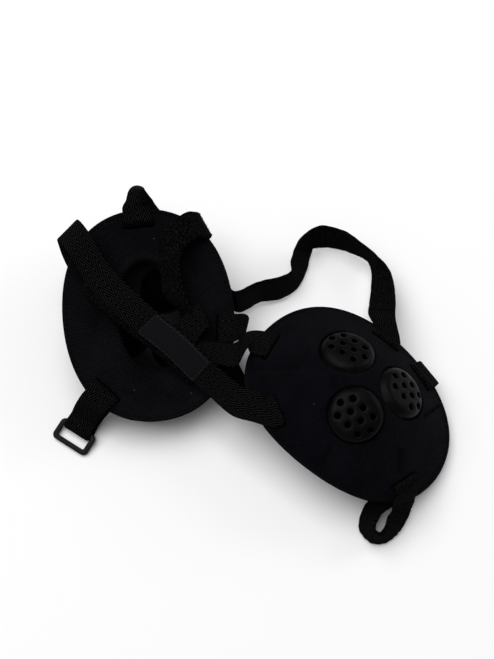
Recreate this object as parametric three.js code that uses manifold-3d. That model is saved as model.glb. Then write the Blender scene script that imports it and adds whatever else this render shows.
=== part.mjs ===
// Wrestling ear guard lying on a table: two padded ear cups joined by webbing straps.
// Millimetres and degrees, +Z up, z = 0 on the table, X to the right and Y away from the viewer.
import * as THREE from 'three';
import { mergeVertices } from 'three/addons/utils/BufferGeometryUtils.js';
import Module from 'manifold-3d';

const wasm = await Module();
wasm.setup();

// Ear cup: outline, dome and layers
const CUP_LENGTH = 138;
const CUP_WIDTH = 107;
const CUP_SQUARENESS = 0.018;
const DOME_HEIGHT = 28;
const DOME_EASE = 1.25;
const COVER_WALL = 2.2;
const SHELL_WALL = 1.8;
const SHELL_REACH = 0.69;
const SHELL_ROOM = 0.9;
const PAD_EDGE = 2.5;
const PAD_STEP = 0.8;
const BOWL_DEPTH = 12;
const EAR_HOLE_LENGTH = 70;
const EAR_HOLE_WIDTH = 38;
const GAP = 0.35;

// Openings in the cover, and the raised, pierced bubbles of the shell that fill them
const OPENING_DIAMETER = 34;
// Each opening's bearing and its distance from the cup's middle
const OPENINGS = [[150, 24], [40, 25.5], [-67, 19.5]];
const BUBBLE_CLEARANCE = 0.9;
const BUBBLE_RISE = 2;
const BUBBLE_SHOULDER = 2;
const VENT_DIAMETER = 3.4;
const VENT_PITCH = 7.6;

// Webbing straps and the slots that they are threaded through
const STRAP_WIDTH = 18;
const STRAP_THICKNESS = 1.3;
const STRAP_LIFT = 0.5;
const LAYER_SHIFT = 3.5;
const OUTER_SLOPE = 1.7;
const INNER_SLOPE = 2.2;
const SLOT_INSET = 10;
const SLOT_OPEN = 3.6;
const SLOT_CLEARANCE = 1;
// How far from the line of the slots a strap leaves a face, nears the rim, and ends in a tail
const LEAVING = 5;
const NEAR_RIM = 9;
const TAIL = 16;

// Chin ring, in moulded plastic
const RING_WIRE = 3.2;
const RING_DEPTH = 2.6;
const RING_CORNER = 3.4;
const RING_SLACK = 0.6;
const RING_OPEN = 7.9;

// Name patch and hook tab, sewn on straps
const PATCH_LENGTH = 46;
const PATCH_WIDTH = 17;
const PATCH_THICKNESS = 0.7;
const TAB_LENGTH = 40;
const TAB_THICKNESS = 0.9;

// Where the two cups lie, as shares of the cup's length and width. A hand of -1 mirrors the cup.
const LEFT_CUP = {
  name: 'left',
  hand: -1,
  place: [-0.44, 0.157],
  clearance: 0,
  yaw: -82.4,
  pitch: 12.5,
  roll: -2,
  insideUp: true,
  saddle: 0,
  twist: 0,
  slots: { forehead: [-128, 0], crown: [-179, 0], back_low: [76, 0], chin: [-42, 0] },
};
const RIGHT_CUP = {
  name: 'right',
  hand: 1,
  place: [0.452, -0.362],
  clearance: STRAP_THICKNESS + 2 * STRAP_LIFT,
  yaw: -39.5,
  pitch: 10,
  roll: -8,
  insideUp: false,
  saddle: -3,
  twist: -3,
  slots: { forehead: [-116, -11], crown: [-168, 0], back_high: [98, 0], back_low: [70, 0], chin: [-27, 13] },
};

const ROUND_STEPS = 24;
const OPENING_STEPS = 12;
const VENT_SIDES = 5;
const STEPS_PER_STATION = 2;
const LENGTH_STEPS = 600;
const DOME_STATIONS = [0, 0.28, 0.5, SHELL_REACH];
const EDGE_STATIONS = [PAD_STEP, 0.88, 0.95, 1];
const V3 = THREE.Vector3;
const rad = THREE.MathUtils.degToRad;
const assembly = new THREE.Group();

const materials = {
  neoprene: new THREE.MeshStandardMaterial({ color: 0x0b0c12, roughness: 0.85, metalness: 0 }),
  shell: new THREE.MeshStandardMaterial({ color: 0x141516, roughness: 0.45, metalness: 0 }),
  webbing: new THREE.MeshStandardMaterial({ color: 0x121212, roughness: 0.8, metalness: 0 }),
  hook: new THREE.MeshStandardMaterial({ color: 0x10140f, roughness: 0.6, metalness: 0 }),
  patch: new THREE.MeshStandardMaterial({ color: 0x0f1116, roughness: 0.6, metalness: 0 }),
  ring: new THREE.MeshStandardMaterial({ color: 0x17180f, roughness: 0.4, metalness: 0 }),
};

// A merged three.js geometry as a manifold, and back
function toSolid(geometry) {
  const bare = geometry.clone();
  bare.deleteAttribute('normal');
  bare.deleteAttribute('uv');
  const merged = mergeVertices(bare, 1e-4);
  return new wasm.Manifold(new wasm.Mesh({
    numProp: 3,
    vertProperties: merged.attributes.position.array,
    triVerts: new Uint32Array(merged.index.array),
  }));
}

function toGeometry(solid) {
  const mesh = solid.getMesh();
  const geometry = new THREE.BufferGeometry();
  geometry.setAttribute('position', new THREE.BufferAttribute(mesh.vertProperties, 3));
  geometry.setIndex(new THREE.BufferAttribute(mesh.triVerts, 1));
  return geometry;
}

function addMesh(parent, name, geometry, material) {
  const mesh = new THREE.Mesh(geometry, material);
  mesh.name = name;
  parent.add(mesh);
  return mesh;
}

// The cup's outline: an ellipse drawn out a little at its four quarters
function outlineStretch(angle) {
  return 1 - CUP_SQUARENESS * Math.cos(4 * angle);
}

function rimPoint(angle) {
  const stretch = outlineStretch(angle);
  return new THREE.Vector2(
    CUP_LENGTH / 2 * Math.cos(angle) * stretch,
    CUP_WIDTH / 2 * Math.sin(angle) * stretch,
  );
}

// How far out a point of the cup is, from 0 at the middle to 1 at the rim
function rimShare(x, y) {
  const across = y / (CUP_WIDTH / 2);
  const along = x / (CUP_LENGTH / 2);
  return Math.hypot(along, across) / outlineStretch(Math.atan2(across, along));
}

// How the soft cup bends as it lies
function bend(cup, x, y) {
  const share = rimShare(x, y);
  const angle = Math.atan2(y / CUP_WIDTH, x / CUP_LENGTH);
  return share * share * (cup.saddle * Math.cos(2 * angle) + cup.twist * Math.sin(2 * angle));
}

function coverTop(cup, x, y) {
  const share = rimShare(x, y);
  return bend(cup, x, y) + DOME_HEIGHT * Math.pow(Math.max(0, 1 - share * share), DOME_EASE);
}

function coverUnder(cup, x, y) {
  return coverTop(cup, x, y) - COVER_WALL;
}

function padTop(cup, x, y) {
  const step = THREE.MathUtils.smoothstep(rimShare(x, y), SHELL_REACH + 0.01, PAD_STEP);
  return coverUnder(cup, x, y) - GAP - (1 - step) * (SHELL_WALL + SHELL_ROOM);
}

function padUnder(cup, x, y) {
  const share = rimShare(x, y);
  const edge = COVER_WALL + GAP + PAD_EDGE;
  return bend(cup, x, y) + BOWL_DEPTH * Math.max(0, 1 - share * share) - edge;
}

// A lathed section whose two coordinates are shares: along from the inner edge to the outer one,
// and through from the under face to the upper. place() carries each to the cup's own shape.
// A ring is lathed off the axis, so that its inner edge keeps its angles.
function lathedLayer(stations, isRing, place) {
  const inset = isRing ? 1 : 0;
  const under = stations.map((share) => new THREE.Vector2(inset + share, 0));
  const upper = stations.map((share) => new THREE.Vector2(inset + share, 1)).reverse();
  const section = [...under, ...upper];
  if (isRing) section.push(section[0].clone());
  const geometry = new THREE.LatheGeometry(section, ROUND_STEPS);
  const position = geometry.attributes.position;
  for (let i = 0; i < position.count; i++) {
    const share = Math.hypot(position.getX(i), position.getZ(i)) - inset;
    const angle = Math.atan2(position.getX(i), position.getZ(i));
    const placed = place(share, angle, position.getY(i));
    position.setXYZ(i, placed.x, placed.y, placed.z);
  }
  return geometry;
}

// The middle of the line of a slot at a bearing on the rim, and the ways along it and outward,
// which may be turned a little from the rim's
function rimFrame(cup, [bearing, turn]) {
  const angle = rad(cup.hand * bearing);
  const rim = rimPoint(angle);
  const along = rimPoint(angle + 0.01).sub(rim).normalize();
  const outward = new THREE.Vector2(along.y, -along.x);
  const middle = rim.clone().addScaledVector(outward, -SLOT_INSET);
  const origin = new THREE.Vector2();
  along.rotateAround(origin, rad(turn));
  outward.rotateAround(origin, rad(turn));
  return { along, outward, middle };
}

function slotCutter(cup, slot) {
  const frame = rimFrame(cup, slot);
  const cutter = new THREE.BoxGeometry(STRAP_WIDTH + 2 * SLOT_CLEARANCE, SLOT_OPEN, 2 * DOME_HEIGHT);
  cutter.rotateZ(Math.atan2(frame.along.y, frame.along.x));
  cutter.translate(frame.middle.x, frame.middle.y, coverTop(cup, frame.middle.x, frame.middle.y));
  return toSolid(cutter);
}

function cutSlots(solid, cup) {
  const cutters = Object.values(cup.slots).map((slot) => slotCutter(cup, slot));
  return cutters.reduce((left, cutter) => left.subtract(cutter), solid);
}

// The cover's lie at an opening: a matrix from the opening's own frame to the cup's
function openingMatrix(cup, [bearing, distance]) {
  const angle = rad(cup.hand * bearing);
  const x = distance * Math.cos(angle);
  const y = distance * Math.sin(angle);
  const probe = 0.5;
  const slopeX = (coverTop(cup, x + probe, y) - coverTop(cup, x - probe, y)) / (2 * probe);
  const slopeY = (coverTop(cup, x, y + probe) - coverTop(cup, x, y - probe)) / (2 * probe);
  const normal = new V3(-slopeX, -slopeY, 1).normalize();
  const turn = new THREE.Quaternion().setFromUnitVectors(new V3(0, 0, 1), normal);
  return new THREE.Matrix4().compose(new V3(x, y, coverTop(cup, x, y)), turn, new V3(1, 1, 1));
}

// A round plug across an opening, from a section of radii and heights on the opening's own axis
function openingPlug(cup, opening, radii, heights) {
  const section = radii.map((radius, i) => new THREE.Vector2(radius, heights[i]));
  const plug = new THREE.LatheGeometry(section, OPENING_STEPS);
  plug.rotateX(Math.PI / 2);
  plug.applyMatrix4(openingMatrix(cup, opening));
  return toSolid(plug);
}

function coverGeometry(cup) {
  const layer = lathedLayer([...DOME_STATIONS, ...EDGE_STATIONS], false, (share, angle, through) => {
    const at = rimPoint(angle).multiplyScalar(share);
    return new V3(at.x, at.y, coverUnder(cup, at.x, at.y) + through * COVER_WALL);
  });
  const radius = OPENING_DIAMETER / 2;
  const reach = 3 * COVER_WALL;
  let solid = cutSlots(toSolid(layer), cup);
  for (const opening of OPENINGS) {
    const hole = openingPlug(cup, opening, [0, radius, radius, 0], [-reach, -reach, reach, reach]);
    solid = solid.subtract(hole);
  }
  return toGeometry(solid);
}

// The pad's stations run from 0 at the ear hole to 1 where the shell ends and 2 at the rim
function padGeometry(cup) {
  const inner = SHELL_REACH + 0.01;
  const outer = EDGE_STATIONS.map((share) => 1 + (share - inner) / (1 - inner));
  const layer = lathedLayer([0, 0.5, 1, ...outer], true, (station, angle, through) => {
    const hole = new THREE.Vector2(
      EAR_HOLE_LENGTH / 2 * Math.cos(angle),
      EAR_HOLE_WIDTH / 2 * Math.sin(angle),
    );
    const rim = rimPoint(angle);
    const seam = rim.clone().multiplyScalar(inner);
    const at = station <= 1 ? hole.lerp(seam, station) : seam.lerp(rim, station - 1);
    const under = padUnder(cup, at.x, at.y);
    return new V3(at.x, at.y, THREE.MathUtils.lerp(under, padTop(cup, at.x, at.y), through));
  });
  return toGeometry(cutSlots(toSolid(layer), cup));
}

// The vents of one bubble, in three rows of three, four and three
function ventSpots() {
  const rows = [[-1, 3], [0, 4], [1, 3]];
  return rows.flatMap(([row, count]) => Array.from({ length: count }, (_, i) => [
    (i - (count - 1) / 2) * VENT_PITCH,
    row * VENT_PITCH * Math.sin(rad(60)),
  ]));
}

function ventCutter(cup, opening, [x, y]) {
  const vent = new THREE.CylinderGeometry(VENT_DIAMETER / 2, VENT_DIAMETER / 2, DOME_HEIGHT, VENT_SIDES);
  vent.rotateX(Math.PI / 2);
  vent.translate(x, y, 0);
  vent.applyMatrix4(openingMatrix(cup, opening));
  return toSolid(vent);
}

function shellGeometry(cup) {
  const drop = COVER_WALL + GAP;
  const shellAt = (share, angle, down) => {
    const at = rimPoint(angle).multiplyScalar(share);
    return new V3(at.x, at.y, coverTop(cup, at.x, at.y) - drop - down);
  };
  const layer = lathedLayer(DOME_STATIONS, false, (share, angle, through) => (
    shellAt(share, angle, (1 - through) * SHELL_WALL)
  ));
  const core = lathedLayer(DOME_STATIONS, false, (share, angle, through) => (
    shellAt(share, angle, SHELL_WALL + (1 - through) * DOME_HEIGHT)
  ));
  const outer = OPENING_DIAMETER / 2 - BUBBLE_CLEARANCE;
  const inner = outer - SHELL_WALL;
  const foot = -drop - 2 * SHELL_WALL;
  const shoulder = BUBBLE_RISE - BUBBLE_SHOULDER;
  let solid = toSolid(layer);
  for (const opening of OPENINGS) {
    const raised = openingPlug(
      cup,
      opening,
      [0, outer, outer, outer - BUBBLE_SHOULDER, 0],
      [foot, foot, shoulder, BUBBLE_RISE, BUBBLE_RISE],
    );
    solid = solid.add(raised);
  }
  solid = solid.subtract(toSolid(core));
  for (const opening of OPENINGS) {
    const hollow = openingPlug(
      cup,
      opening,
      [0, inner, inner, inner - BUBBLE_SHOULDER, 0],
      [2 * foot, 2 * foot, shoulder - SHELL_WALL, BUBBLE_RISE - SHELL_WALL, BUBBLE_RISE - SHELL_WALL],
    );
    solid = solid.subtract(hollow);
    for (const spot of ventSpots()) {
      solid = solid.subtract(ventCutter(cup, opening, spot));
    }
  }
  return toGeometry(solid);
}

// A cup's turn as it lies, and its place, with its lowest point at its clearance over the table
function cupTurn(cup) {
  const about = (x, y, z, degrees) => new THREE.Quaternion().setFromAxisAngle(new V3(x, y, z), rad(degrees));
  return about(0, 0, 1, cup.yaw)
    .multiply(about(1, 0, 0, cup.roll))
    .multiply(about(0, 1, 0, cup.pitch))
    .multiply(about(1, 0, 0, cup.insideUp ? 180 : 0));
}

function placeCup(cup) {
  const group = new THREE.Group();
  addMesh(group, cup.name + '_cover', coverGeometry(cup), materials.neoprene);
  addMesh(group, cup.name + '_shell', shellGeometry(cup), materials.shell);
  addMesh(group, cup.name + '_ear_pad', padGeometry(cup), materials.neoprene);
  group.quaternion.copy(cupTurn(cup));
  const lowest = new THREE.Box3().setFromObject(group, true).min.z;
  group.position.set(cup.place[0] * CUP_LENGTH, cup.place[1] * CUP_WIDTH, cup.clearance - lowest);
  group.updateMatrixWorld(true);
  assembly.add(group);
  return group.matrixWorld;
}

const cupMatrices = new Map([LEFT_CUP, RIGHT_CUP].map((cup) => [cup, placeCup(cup)]));

// A station of a strap on a face of a cup, by the place of a slot and a reach outward from its line.
// The width of the strap there lies along the slot.
function onFace(cup, slot, face, reach, lift = 1) {
  const frame = rimFrame(cup, slot);
  const at = frame.middle.clone().addScaledVector(frame.outward, reach);
  const held = frame.middle.clone().addScaledVector(frame.outward, Math.min(reach, SLOT_INSET));
  const rise = lift * (STRAP_LIFT + STRAP_THICKNESS / 2);
  const heights = {
    outer: coverTop(cup, held.x, held.y) + OUTER_SLOPE * rise,
    inner: padUnder(cup, held.x, held.y) - INNER_SLOPE * rise,
    middle: (coverTop(cup, held.x, held.y) + padUnder(cup, held.x, held.y)) / 2,
  };
  const point = new V3(at.x, at.y, heights[face]).applyMatrix4(cupMatrices.get(cup));
  const side = new V3(frame.along.x, frame.along.y, 0).applyQuaternion(cupTurn(cup));
  return { point, side, wide: 1 };
}

// The stations of a strap that comes in on one face, goes through a slot and leaves on the other.
// The last of the reaches in, and the first of the reaches out, say on which side of the slot.
function threaded(cup, slot, from, reachesIn, to, reachesOut) {
  const place = cup.slots[slot];
  const sideIn = Math.sign(reachesIn.at(-1));
  const sideOut = Math.sign(reachesOut[0]);
  return [
    ...reachesIn.map((reach) => onFace(cup, place, from, reach)),
    onFace(cup, place, from, 2.2 * sideIn, 1.1),
    onFace(cup, place, from, 0.7 * sideIn, 0.6),
    onFace(cup, place, 'middle', 0),
    onFace(cup, place, to, 0.7 * sideOut, 0.6),
    onFace(cup, place, to, 2.2 * sideOut, 1.1),
    ...reachesOut.map((reach) => onFace(cup, place, to, reach)),
  ];
}

// A station in the open: along and across are shares of the cup's half length and half width,
// measured level from the cup's middle, up is a share of the dome's height over the table, facing
// is the level direction of the strap's width and lean its slope. A layer number sinks it under.
function inTheOpen(row) {
  const { cup, along, across, up, facing, lean, wide = 1, layer = 0 } = row;
  const yaw = rad(cup.yaw);
  const x = along * CUP_LENGTH / 2;
  const y = across * CUP_WIDTH / 2;
  const side = new V3(
    Math.cos(rad(facing)) * Math.cos(rad(lean)),
    Math.sin(rad(facing)) * Math.cos(rad(lean)),
    Math.sin(rad(lean)),
  );
  const under = new V3(
    Math.cos(rad(facing)) * Math.sin(rad(lean)),
    Math.sin(rad(facing)) * Math.sin(rad(lean)),
    -Math.cos(rad(lean)),
  );
  const point = new V3(
    cup.place[0] * CUP_LENGTH + x * Math.cos(yaw) - y * Math.sin(yaw),
    cup.place[1] * CUP_WIDTH + x * Math.sin(yaw) + y * Math.cos(yaw),
    up * DOME_HEIGHT,
  );
  point.addScaledVector(under, layer * (STRAP_THICKNESS + STRAP_LIFT));
  point.addScaledVector(side, -layer * LAYER_SHIFT);
  return { point, side, wide };
}

// A strap's path: a smooth curve through its stations, whose widths turn evenly between them.
// Where a station would sink the strap into the table, the strap lies on the table.
function strapPath(stations) {
  const sides = [];
  for (const station of stations) {
    const side = station.side.clone();
    if (sides.length && side.dot(sides.at(-1)) < 0) side.negate();
    sides.push(side);
  }
  const curve = new THREE.CatmullRomCurve3(stations.map((station) => station.point), false, 'centripetal');
  const frameAt = (share) => {
    const spot = share * (stations.length - 1);
    const i = Math.min(Math.floor(spot), stations.length - 2);
    const blend = spot - i;
    const side = sides[i].clone().lerp(sides[i + 1], blend).normalize();
    const wide = THREE.MathUtils.lerp(stations[i].wide, stations[i + 1].wide, blend);
    const normal = curve.getTangent(share).cross(side).normalize();
    const point = curve.getPoint(share);
    const reachDown = Math.abs(side.z) * wide * STRAP_WIDTH / 2 + Math.abs(normal.z) * STRAP_THICKNESS / 2;
    point.z = Math.max(point.z, reachDown);
    return { point, side, normal, wide };
  };
  return { curve, frameAt, count: stations.length };
}

// A flat strip bent along a path, from one share of it to another, raised off the path by lift
function stripGeometry(path, { from = 0, to = 1, width, thickness, lift = 0, steps }) {
  const strip = new THREE.BoxGeometry(1, 1, 1, steps, 1, 1);
  const position = strip.attributes.position;
  for (let i = 0; i < position.count; i++) {
    const share = THREE.MathUtils.lerp(from, to, position.getX(i) + 0.5);
    const frame = path.frameAt(share);
    const placed = frame.point
      .addScaledVector(frame.side, position.getY(i) * width * frame.wide)
      .addScaledVector(frame.normal, position.getZ(i) * thickness + lift);
    position.setXYZ(i, placed.x, placed.y, placed.z);
  }
  return strip;
}

function addStrap(name, stations) {
  const path = strapPath(stations);
  const geometry = stripGeometry(path, {
    width: STRAP_WIDTH,
    thickness: STRAP_THICKNESS,
    steps: STEPS_PER_STATION * (stations.length - 1),
  });
  addMesh(assembly, name, geometry, materials.webbing);
  return path;
}

// Where along a path, as a share of it, a length of it centred on one station starts and ends
function stretchAround(path, station, length) {
  const middle = station / (path.count - 1);
  const lengths = path.curve.getLengths(LENGTH_STEPS);
  const at = lengths[Math.round(middle * LENGTH_STEPS)];
  const shareAt = (distance) => lengths.findIndex((reached) => reached >= distance) / LENGTH_STEPS;
  return { from: shareAt(at - length / 2), to: shareAt(at + length / 2) };
}

// The forehead strap lies across the left cup, folds under its rim and comes up through the slot;
// its free end lies under itself
const FOREHEAD_SPAN = [
  { cup: RIGHT_CUP, along: -0.54, across: -0.81, up: 1.42, facing: 78, lean: 26 },
  { cup: RIGHT_CUP, along: -0.7, across: -0.87, up: 1.29, facing: 60, lean: 30 },
  { cup: LEFT_CUP, along: 0.82, across: 0.72, up: 1.22, facing: 40, lean: 40 },
  { cup: LEFT_CUP, along: 0.63, across: 0.51, up: 1.27, facing: 36, lean: 38 },
  { cup: LEFT_CUP, along: 0.39, across: 0.27, up: 1.36, facing: 33, lean: 33 },
  { cup: LEFT_CUP, along: 0.16, across: -0.01, up: 1.45, facing: 35, lean: 28 },
  { cup: LEFT_CUP, along: -0.05, across: -0.25, up: 1.54, facing: 40, lean: 20 },
  { cup: LEFT_CUP, along: -0.36, across: -0.54, up: 1.7, facing: 42, lean: 14 },
];
const FOREHEAD_FOLD = [
  { cup: LEFT_CUP, along: -0.64, across: -0.71, up: 1.95, facing: 45, lean: 14 },
  { cup: LEFT_CUP, along: -0.84, across: -0.84, up: 1.7, facing: 45, lean: 14 },
];
const PATCH_SPAN_ROW = 4;

// The crown strap stands up in a twist behind the left cup, comes back over its rim as a soft
// band, folds twice across its bowl and runs over to the right cup
const CROWN_SPAN = [
  { cup: LEFT_CUP, along: -0.99, across: 0.02, up: 2.07, facing: -12, lean: 27 },
  { cup: LEFT_CUP, along: -1.07, across: 0.03, up: 2.18, facing: -45, lean: 42 },
  { cup: LEFT_CUP, along: -1.11, across: 0.08, up: 1.96, facing: -75, lean: 35 },
  { cup: LEFT_CUP, along: -1.07, across: 0.12, up: 1.57, facing: -85, lean: 5 },
  { cup: LEFT_CUP, along: -0.97, across: 0.2, up: 1.28, facing: -90, lean: -30 },
  { cup: LEFT_CUP, along: -0.79, across: 0.34, up: 1.22, facing: -95, lean: -42 },
  { cup: LEFT_CUP, along: -0.72, across: 0.5, up: 1.12, facing: -100, lean: -42 },
  { cup: LEFT_CUP, along: -0.81, across: 0.74, up: 1.32, facing: -60, lean: -20 },
  { cup: LEFT_CUP, along: -0.75, across: 0.76, up: 1.64, facing: -58, lean: -20 },
  { cup: LEFT_CUP, along: -0.7, across: 0.7, up: 1.86, facing: -64, lean: -22 },
  { cup: LEFT_CUP, along: -0.68, across: 0.62, up: 1.95, facing: -66, lean: -18 },
  { cup: LEFT_CUP, along: -0.63, across: 0.49, up: 1.93, facing: -64, lean: -12 },
  { cup: LEFT_CUP, along: -0.55, across: 0.37, up: 1.77, facing: -45, lean: 0 },
  { cup: LEFT_CUP, along: -0.47, across: 0.31, up: 1.61, facing: -33, lean: 26 },
  { cup: LEFT_CUP, along: -0.31, across: 0.3, up: 1.48, facing: -24, lean: 40 },
  { cup: LEFT_CUP, along: -0.12, across: 0.32, up: 1.36, facing: -20, lean: 34 },
  { cup: LEFT_CUP, along: 0.03, across: 0.42, up: 1.28, facing: -40, lean: 12 },
  { cup: LEFT_CUP, along: 0.11, across: 0.58, up: 1.25, facing: -64, lean: 0 },
  { cup: LEFT_CUP, along: 0.11, across: 0.63, up: 1.29, facing: -67, lean: 0 },
  { cup: LEFT_CUP, along: 0.13, across: 0.58, up: 1.33, facing: -64, lean: 0 },
  { cup: LEFT_CUP, along: 0.25, across: 0.4, up: 1.21, facing: -55, lean: 0 },
  { cup: LEFT_CUP, along: 0.33, across: 0.28, up: 1.12, facing: -75, lean: 0 },
  { cup: LEFT_CUP, along: 0.34, across: 0.23, up: 1.08, facing: -78, lean: 0 },
  { cup: LEFT_CUP, along: 0.35, across: 0.28, up: 1.04, facing: -78, lean: 0 },
  { cup: LEFT_CUP, along: 0.43, across: 0.53, up: 1.12, facing: -75, lean: 5 },
  { cup: LEFT_CUP, along: 0.48, across: 0.72, up: 1.21, facing: -77, lean: 13 },
  { cup: LEFT_CUP, along: 0.53, across: 0.93, up: 1.32, facing: -88, lean: 13 },
  { cup: RIGHT_CUP, along: -1.02, across: -0.24, up: 1.36, facing: -86, lean: 34 },
];

// The upper back strap leaves the left cup's dome side, lies on its edge, arches and comes down
const BACK_HIGH_SPAN = [
  { cup: RIGHT_CUP, along: -1.45, across: 0.21, up: 0.64, facing: -73, lean: -69 },
  { cup: RIGHT_CUP, along: -1.37, across: 0.55, up: 0.43, facing: -88, lean: -73 },
  { cup: RIGHT_CUP, along: -1.25, across: 0.78, up: 0.36, facing: -76, lean: -66 },
  { cup: RIGHT_CUP, along: -1.21, across: 0.98, up: 0.34, facing: -20, lean: -72 },
  { cup: RIGHT_CUP, along: -1.27, across: 1.16, up: 0.34, facing: 10, lean: -51 },
  { cup: RIGHT_CUP, along: -1.34, across: 1.36, up: 0.36, facing: 20, lean: -45 },
  { cup: RIGHT_CUP, along: -1.36, across: 1.49, up: 0.39, facing: 1, lean: -66 },
  { cup: RIGHT_CUP, along: -1.3, across: 1.64, up: 0.43, facing: -83, lean: -66 },
  { cup: RIGHT_CUP, along: -1.12, across: 1.77, up: 0.43, facing: -111, lean: -77 },
  { cup: RIGHT_CUP, along: -0.89, across: 1.81, up: 0.43, facing: 107, lean: -81 },
  { cup: RIGHT_CUP, along: -0.76, across: 1.8, up: 0.43, facing: 119, lean: -68 },
  { cup: RIGHT_CUP, along: -0.62, across: 1.71, up: 0.46, facing: 144, lean: -45 },
  { cup: RIGHT_CUP, along: -0.49, across: 1.51, up: 0.57, facing: 157, lean: -35 },
  { cup: RIGHT_CUP, along: -0.37, across: 1.27, up: 0.77, facing: 165, lean: -26 },
  { cup: RIGHT_CUP, along: -0.28, across: 1.08, up: 0.96, facing: 160, lean: -18 },
];
const TAB_SPAN_ROW = 1;

// The lower back strap turns down between the cups and lies flat on the table under the right one
const BACK_LOW_SPAN = [
  { cup: LEFT_CUP, along: 0.23, across: 1.08, up: 1.11, facing: -101, lean: 10 },
  { cup: LEFT_CUP, along: 0.26, across: 1.06, up: 0.75, facing: -101, lean: 10 },
  { cup: RIGHT_CUP, along: -1.08, across: -0.44, up: 0.28, facing: -125, lean: 20 },
  { cup: RIGHT_CUP, along: -0.94, across: -0.52, up: 0.11, facing: -125, lean: 12 },
  { cup: RIGHT_CUP, along: -0.78, across: -0.5, up: 0, facing: -110, lean: 0 },
  { cup: RIGHT_CUP, along: -0.5, across: -0.35, up: 0, facing: -95, lean: 0 },
  { cup: RIGHT_CUP, along: -0.1, across: 0.1, up: 0, facing: -83, lean: 0 },
  { cup: RIGHT_CUP, along: 0.15, across: 0.5, up: 0, facing: -72, lean: 0 },
];

// The chin loop of the right cup stands on its edge and goes back under the rim
const CHIN_LOOP = [
  { cup: RIGHT_CUP, along: 0.71, across: -0.69, up: 0.36, facing: 136, lean: -45 },
  { cup: RIGHT_CUP, along: 0.71, across: -0.82, up: 0.32, facing: 144, lean: -54 },
  { cup: RIGHT_CUP, along: 0.76, across: -0.96, up: 0.32, facing: 157, lean: -64 },
  { cup: RIGHT_CUP, along: 0.84, across: -0.99, up: 0.32, facing: -143, lean: -83 },
  { cup: RIGHT_CUP, along: 0.9, across: -0.94, up: 0.32, facing: -11, lean: -77 },
  { cup: RIGHT_CUP, along: 0.92, across: -0.81, up: 0.34, facing: 8, lean: -56 },
  { cup: RIGHT_CUP, along: 0.9, across: -0.66, up: 0.46, facing: 16, lean: -38 },
  { cup: RIGHT_CUP, along: 0.89, across: -0.59, up: 0.46, facing: 22, lean: -39 },
  { cup: RIGHT_CUP, along: 0.86, across: -0.5, up: 0.87, facing: 30, lean: -16 },
];

// The left chin strap hangs from its slot to the ring; it is a loop sewn shut under the rim
const CHIN_DROP = [
  { cup: LEFT_CUP, along: 0.76, across: -0.81, up: 0.57, facing: -32, lean: 0 },
];
const CHIN_RETURN = [
  { cup: LEFT_CUP, along: 0.74, across: -0.78, up: 0.36, facing: -32, lean: 0 },
];

// The ring lies on its far bar, with its near bar raised by the strap that is passed round it.
// A strap's place on it is a reach from the middle of the near bar, toward the cup, and a rise.
const RING = { cup: LEFT_CUP, along: 0.91, across: -1.01, facing: -32.7 };
const RING_WIDTH = 2 * RING_WIRE + RING_OPEN;
const BAR_WRAP = Math.hypot(RING_WIRE, RING_DEPTH) / 2 + STRAP_LIFT + STRAP_THICKNESS / 2;
const BAR_HEIGHT = BAR_WRAP + STRAP_THICKNESS / 2;
const BAR_SPACING = RING_OPEN + RING_WIRE;

function ringMatrix() {
  const lie = inTheOpen({ ...RING, up: 0, lean: 0 });
  const tilt = Math.asin((BAR_HEIGHT - RING_DEPTH / 2) / BAR_SPACING);
  const turn = new THREE.Quaternion().setFromAxisAngle(new V3(0, 0, 1), rad(RING.facing));
  turn.multiply(new THREE.Quaternion().setFromAxisAngle(new V3(1, 0, 0), tilt));
  lie.point.z = (BAR_HEIGHT + RING_DEPTH / 2) / 2 + RING_WIRE / 2 * Math.sin(tilt);
  return new THREE.Matrix4().compose(lie.point, turn, new V3(1, 1, 1));
}

function roundedOutline(outline, length, width, corner) {
  const x = length / 2 - corner;
  const y = width / 2 - corner;
  outline.absarc(x, y, corner, 0, Math.PI / 2);
  outline.absarc(-x, y, corner, Math.PI / 2, Math.PI);
  outline.absarc(-x, -y, corner, Math.PI, 1.5 * Math.PI);
  outline.absarc(x, -y, corner, 1.5 * Math.PI, 2 * Math.PI);
  outline.closePath();
  return outline;
}

function ringGeometry() {
  const open = STRAP_WIDTH + 2 * RING_SLACK;
  const shape = roundedOutline(new THREE.Shape(), open + 2 * RING_WIRE, RING_WIDTH, RING_CORNER);
  shape.holes.push(roundedOutline(new THREE.Path(), open, RING_OPEN, RING_CORNER / 3));
  const ring = new THREE.ExtrudeGeometry(shape, { depth: RING_DEPTH, bevelEnabled: false, curveSegments: 4 });
  ring.translate(0, 0, -RING_DEPTH / 2);
  return ring;
}

function roundTheBar(reach, rise) {
  const point = new V3(0, BAR_SPACING / 2 + reach, rise).applyMatrix4(ringMatrix());
  const side = new V3(Math.cos(rad(RING.facing)), Math.sin(rad(RING.facing)), 0);
  return { point, side, wide: 1 };
}

const ring = addMesh(assembly, 'chin_ring', ringGeometry(), materials.ring);
ring.applyMatrix4(ringMatrix());

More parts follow.
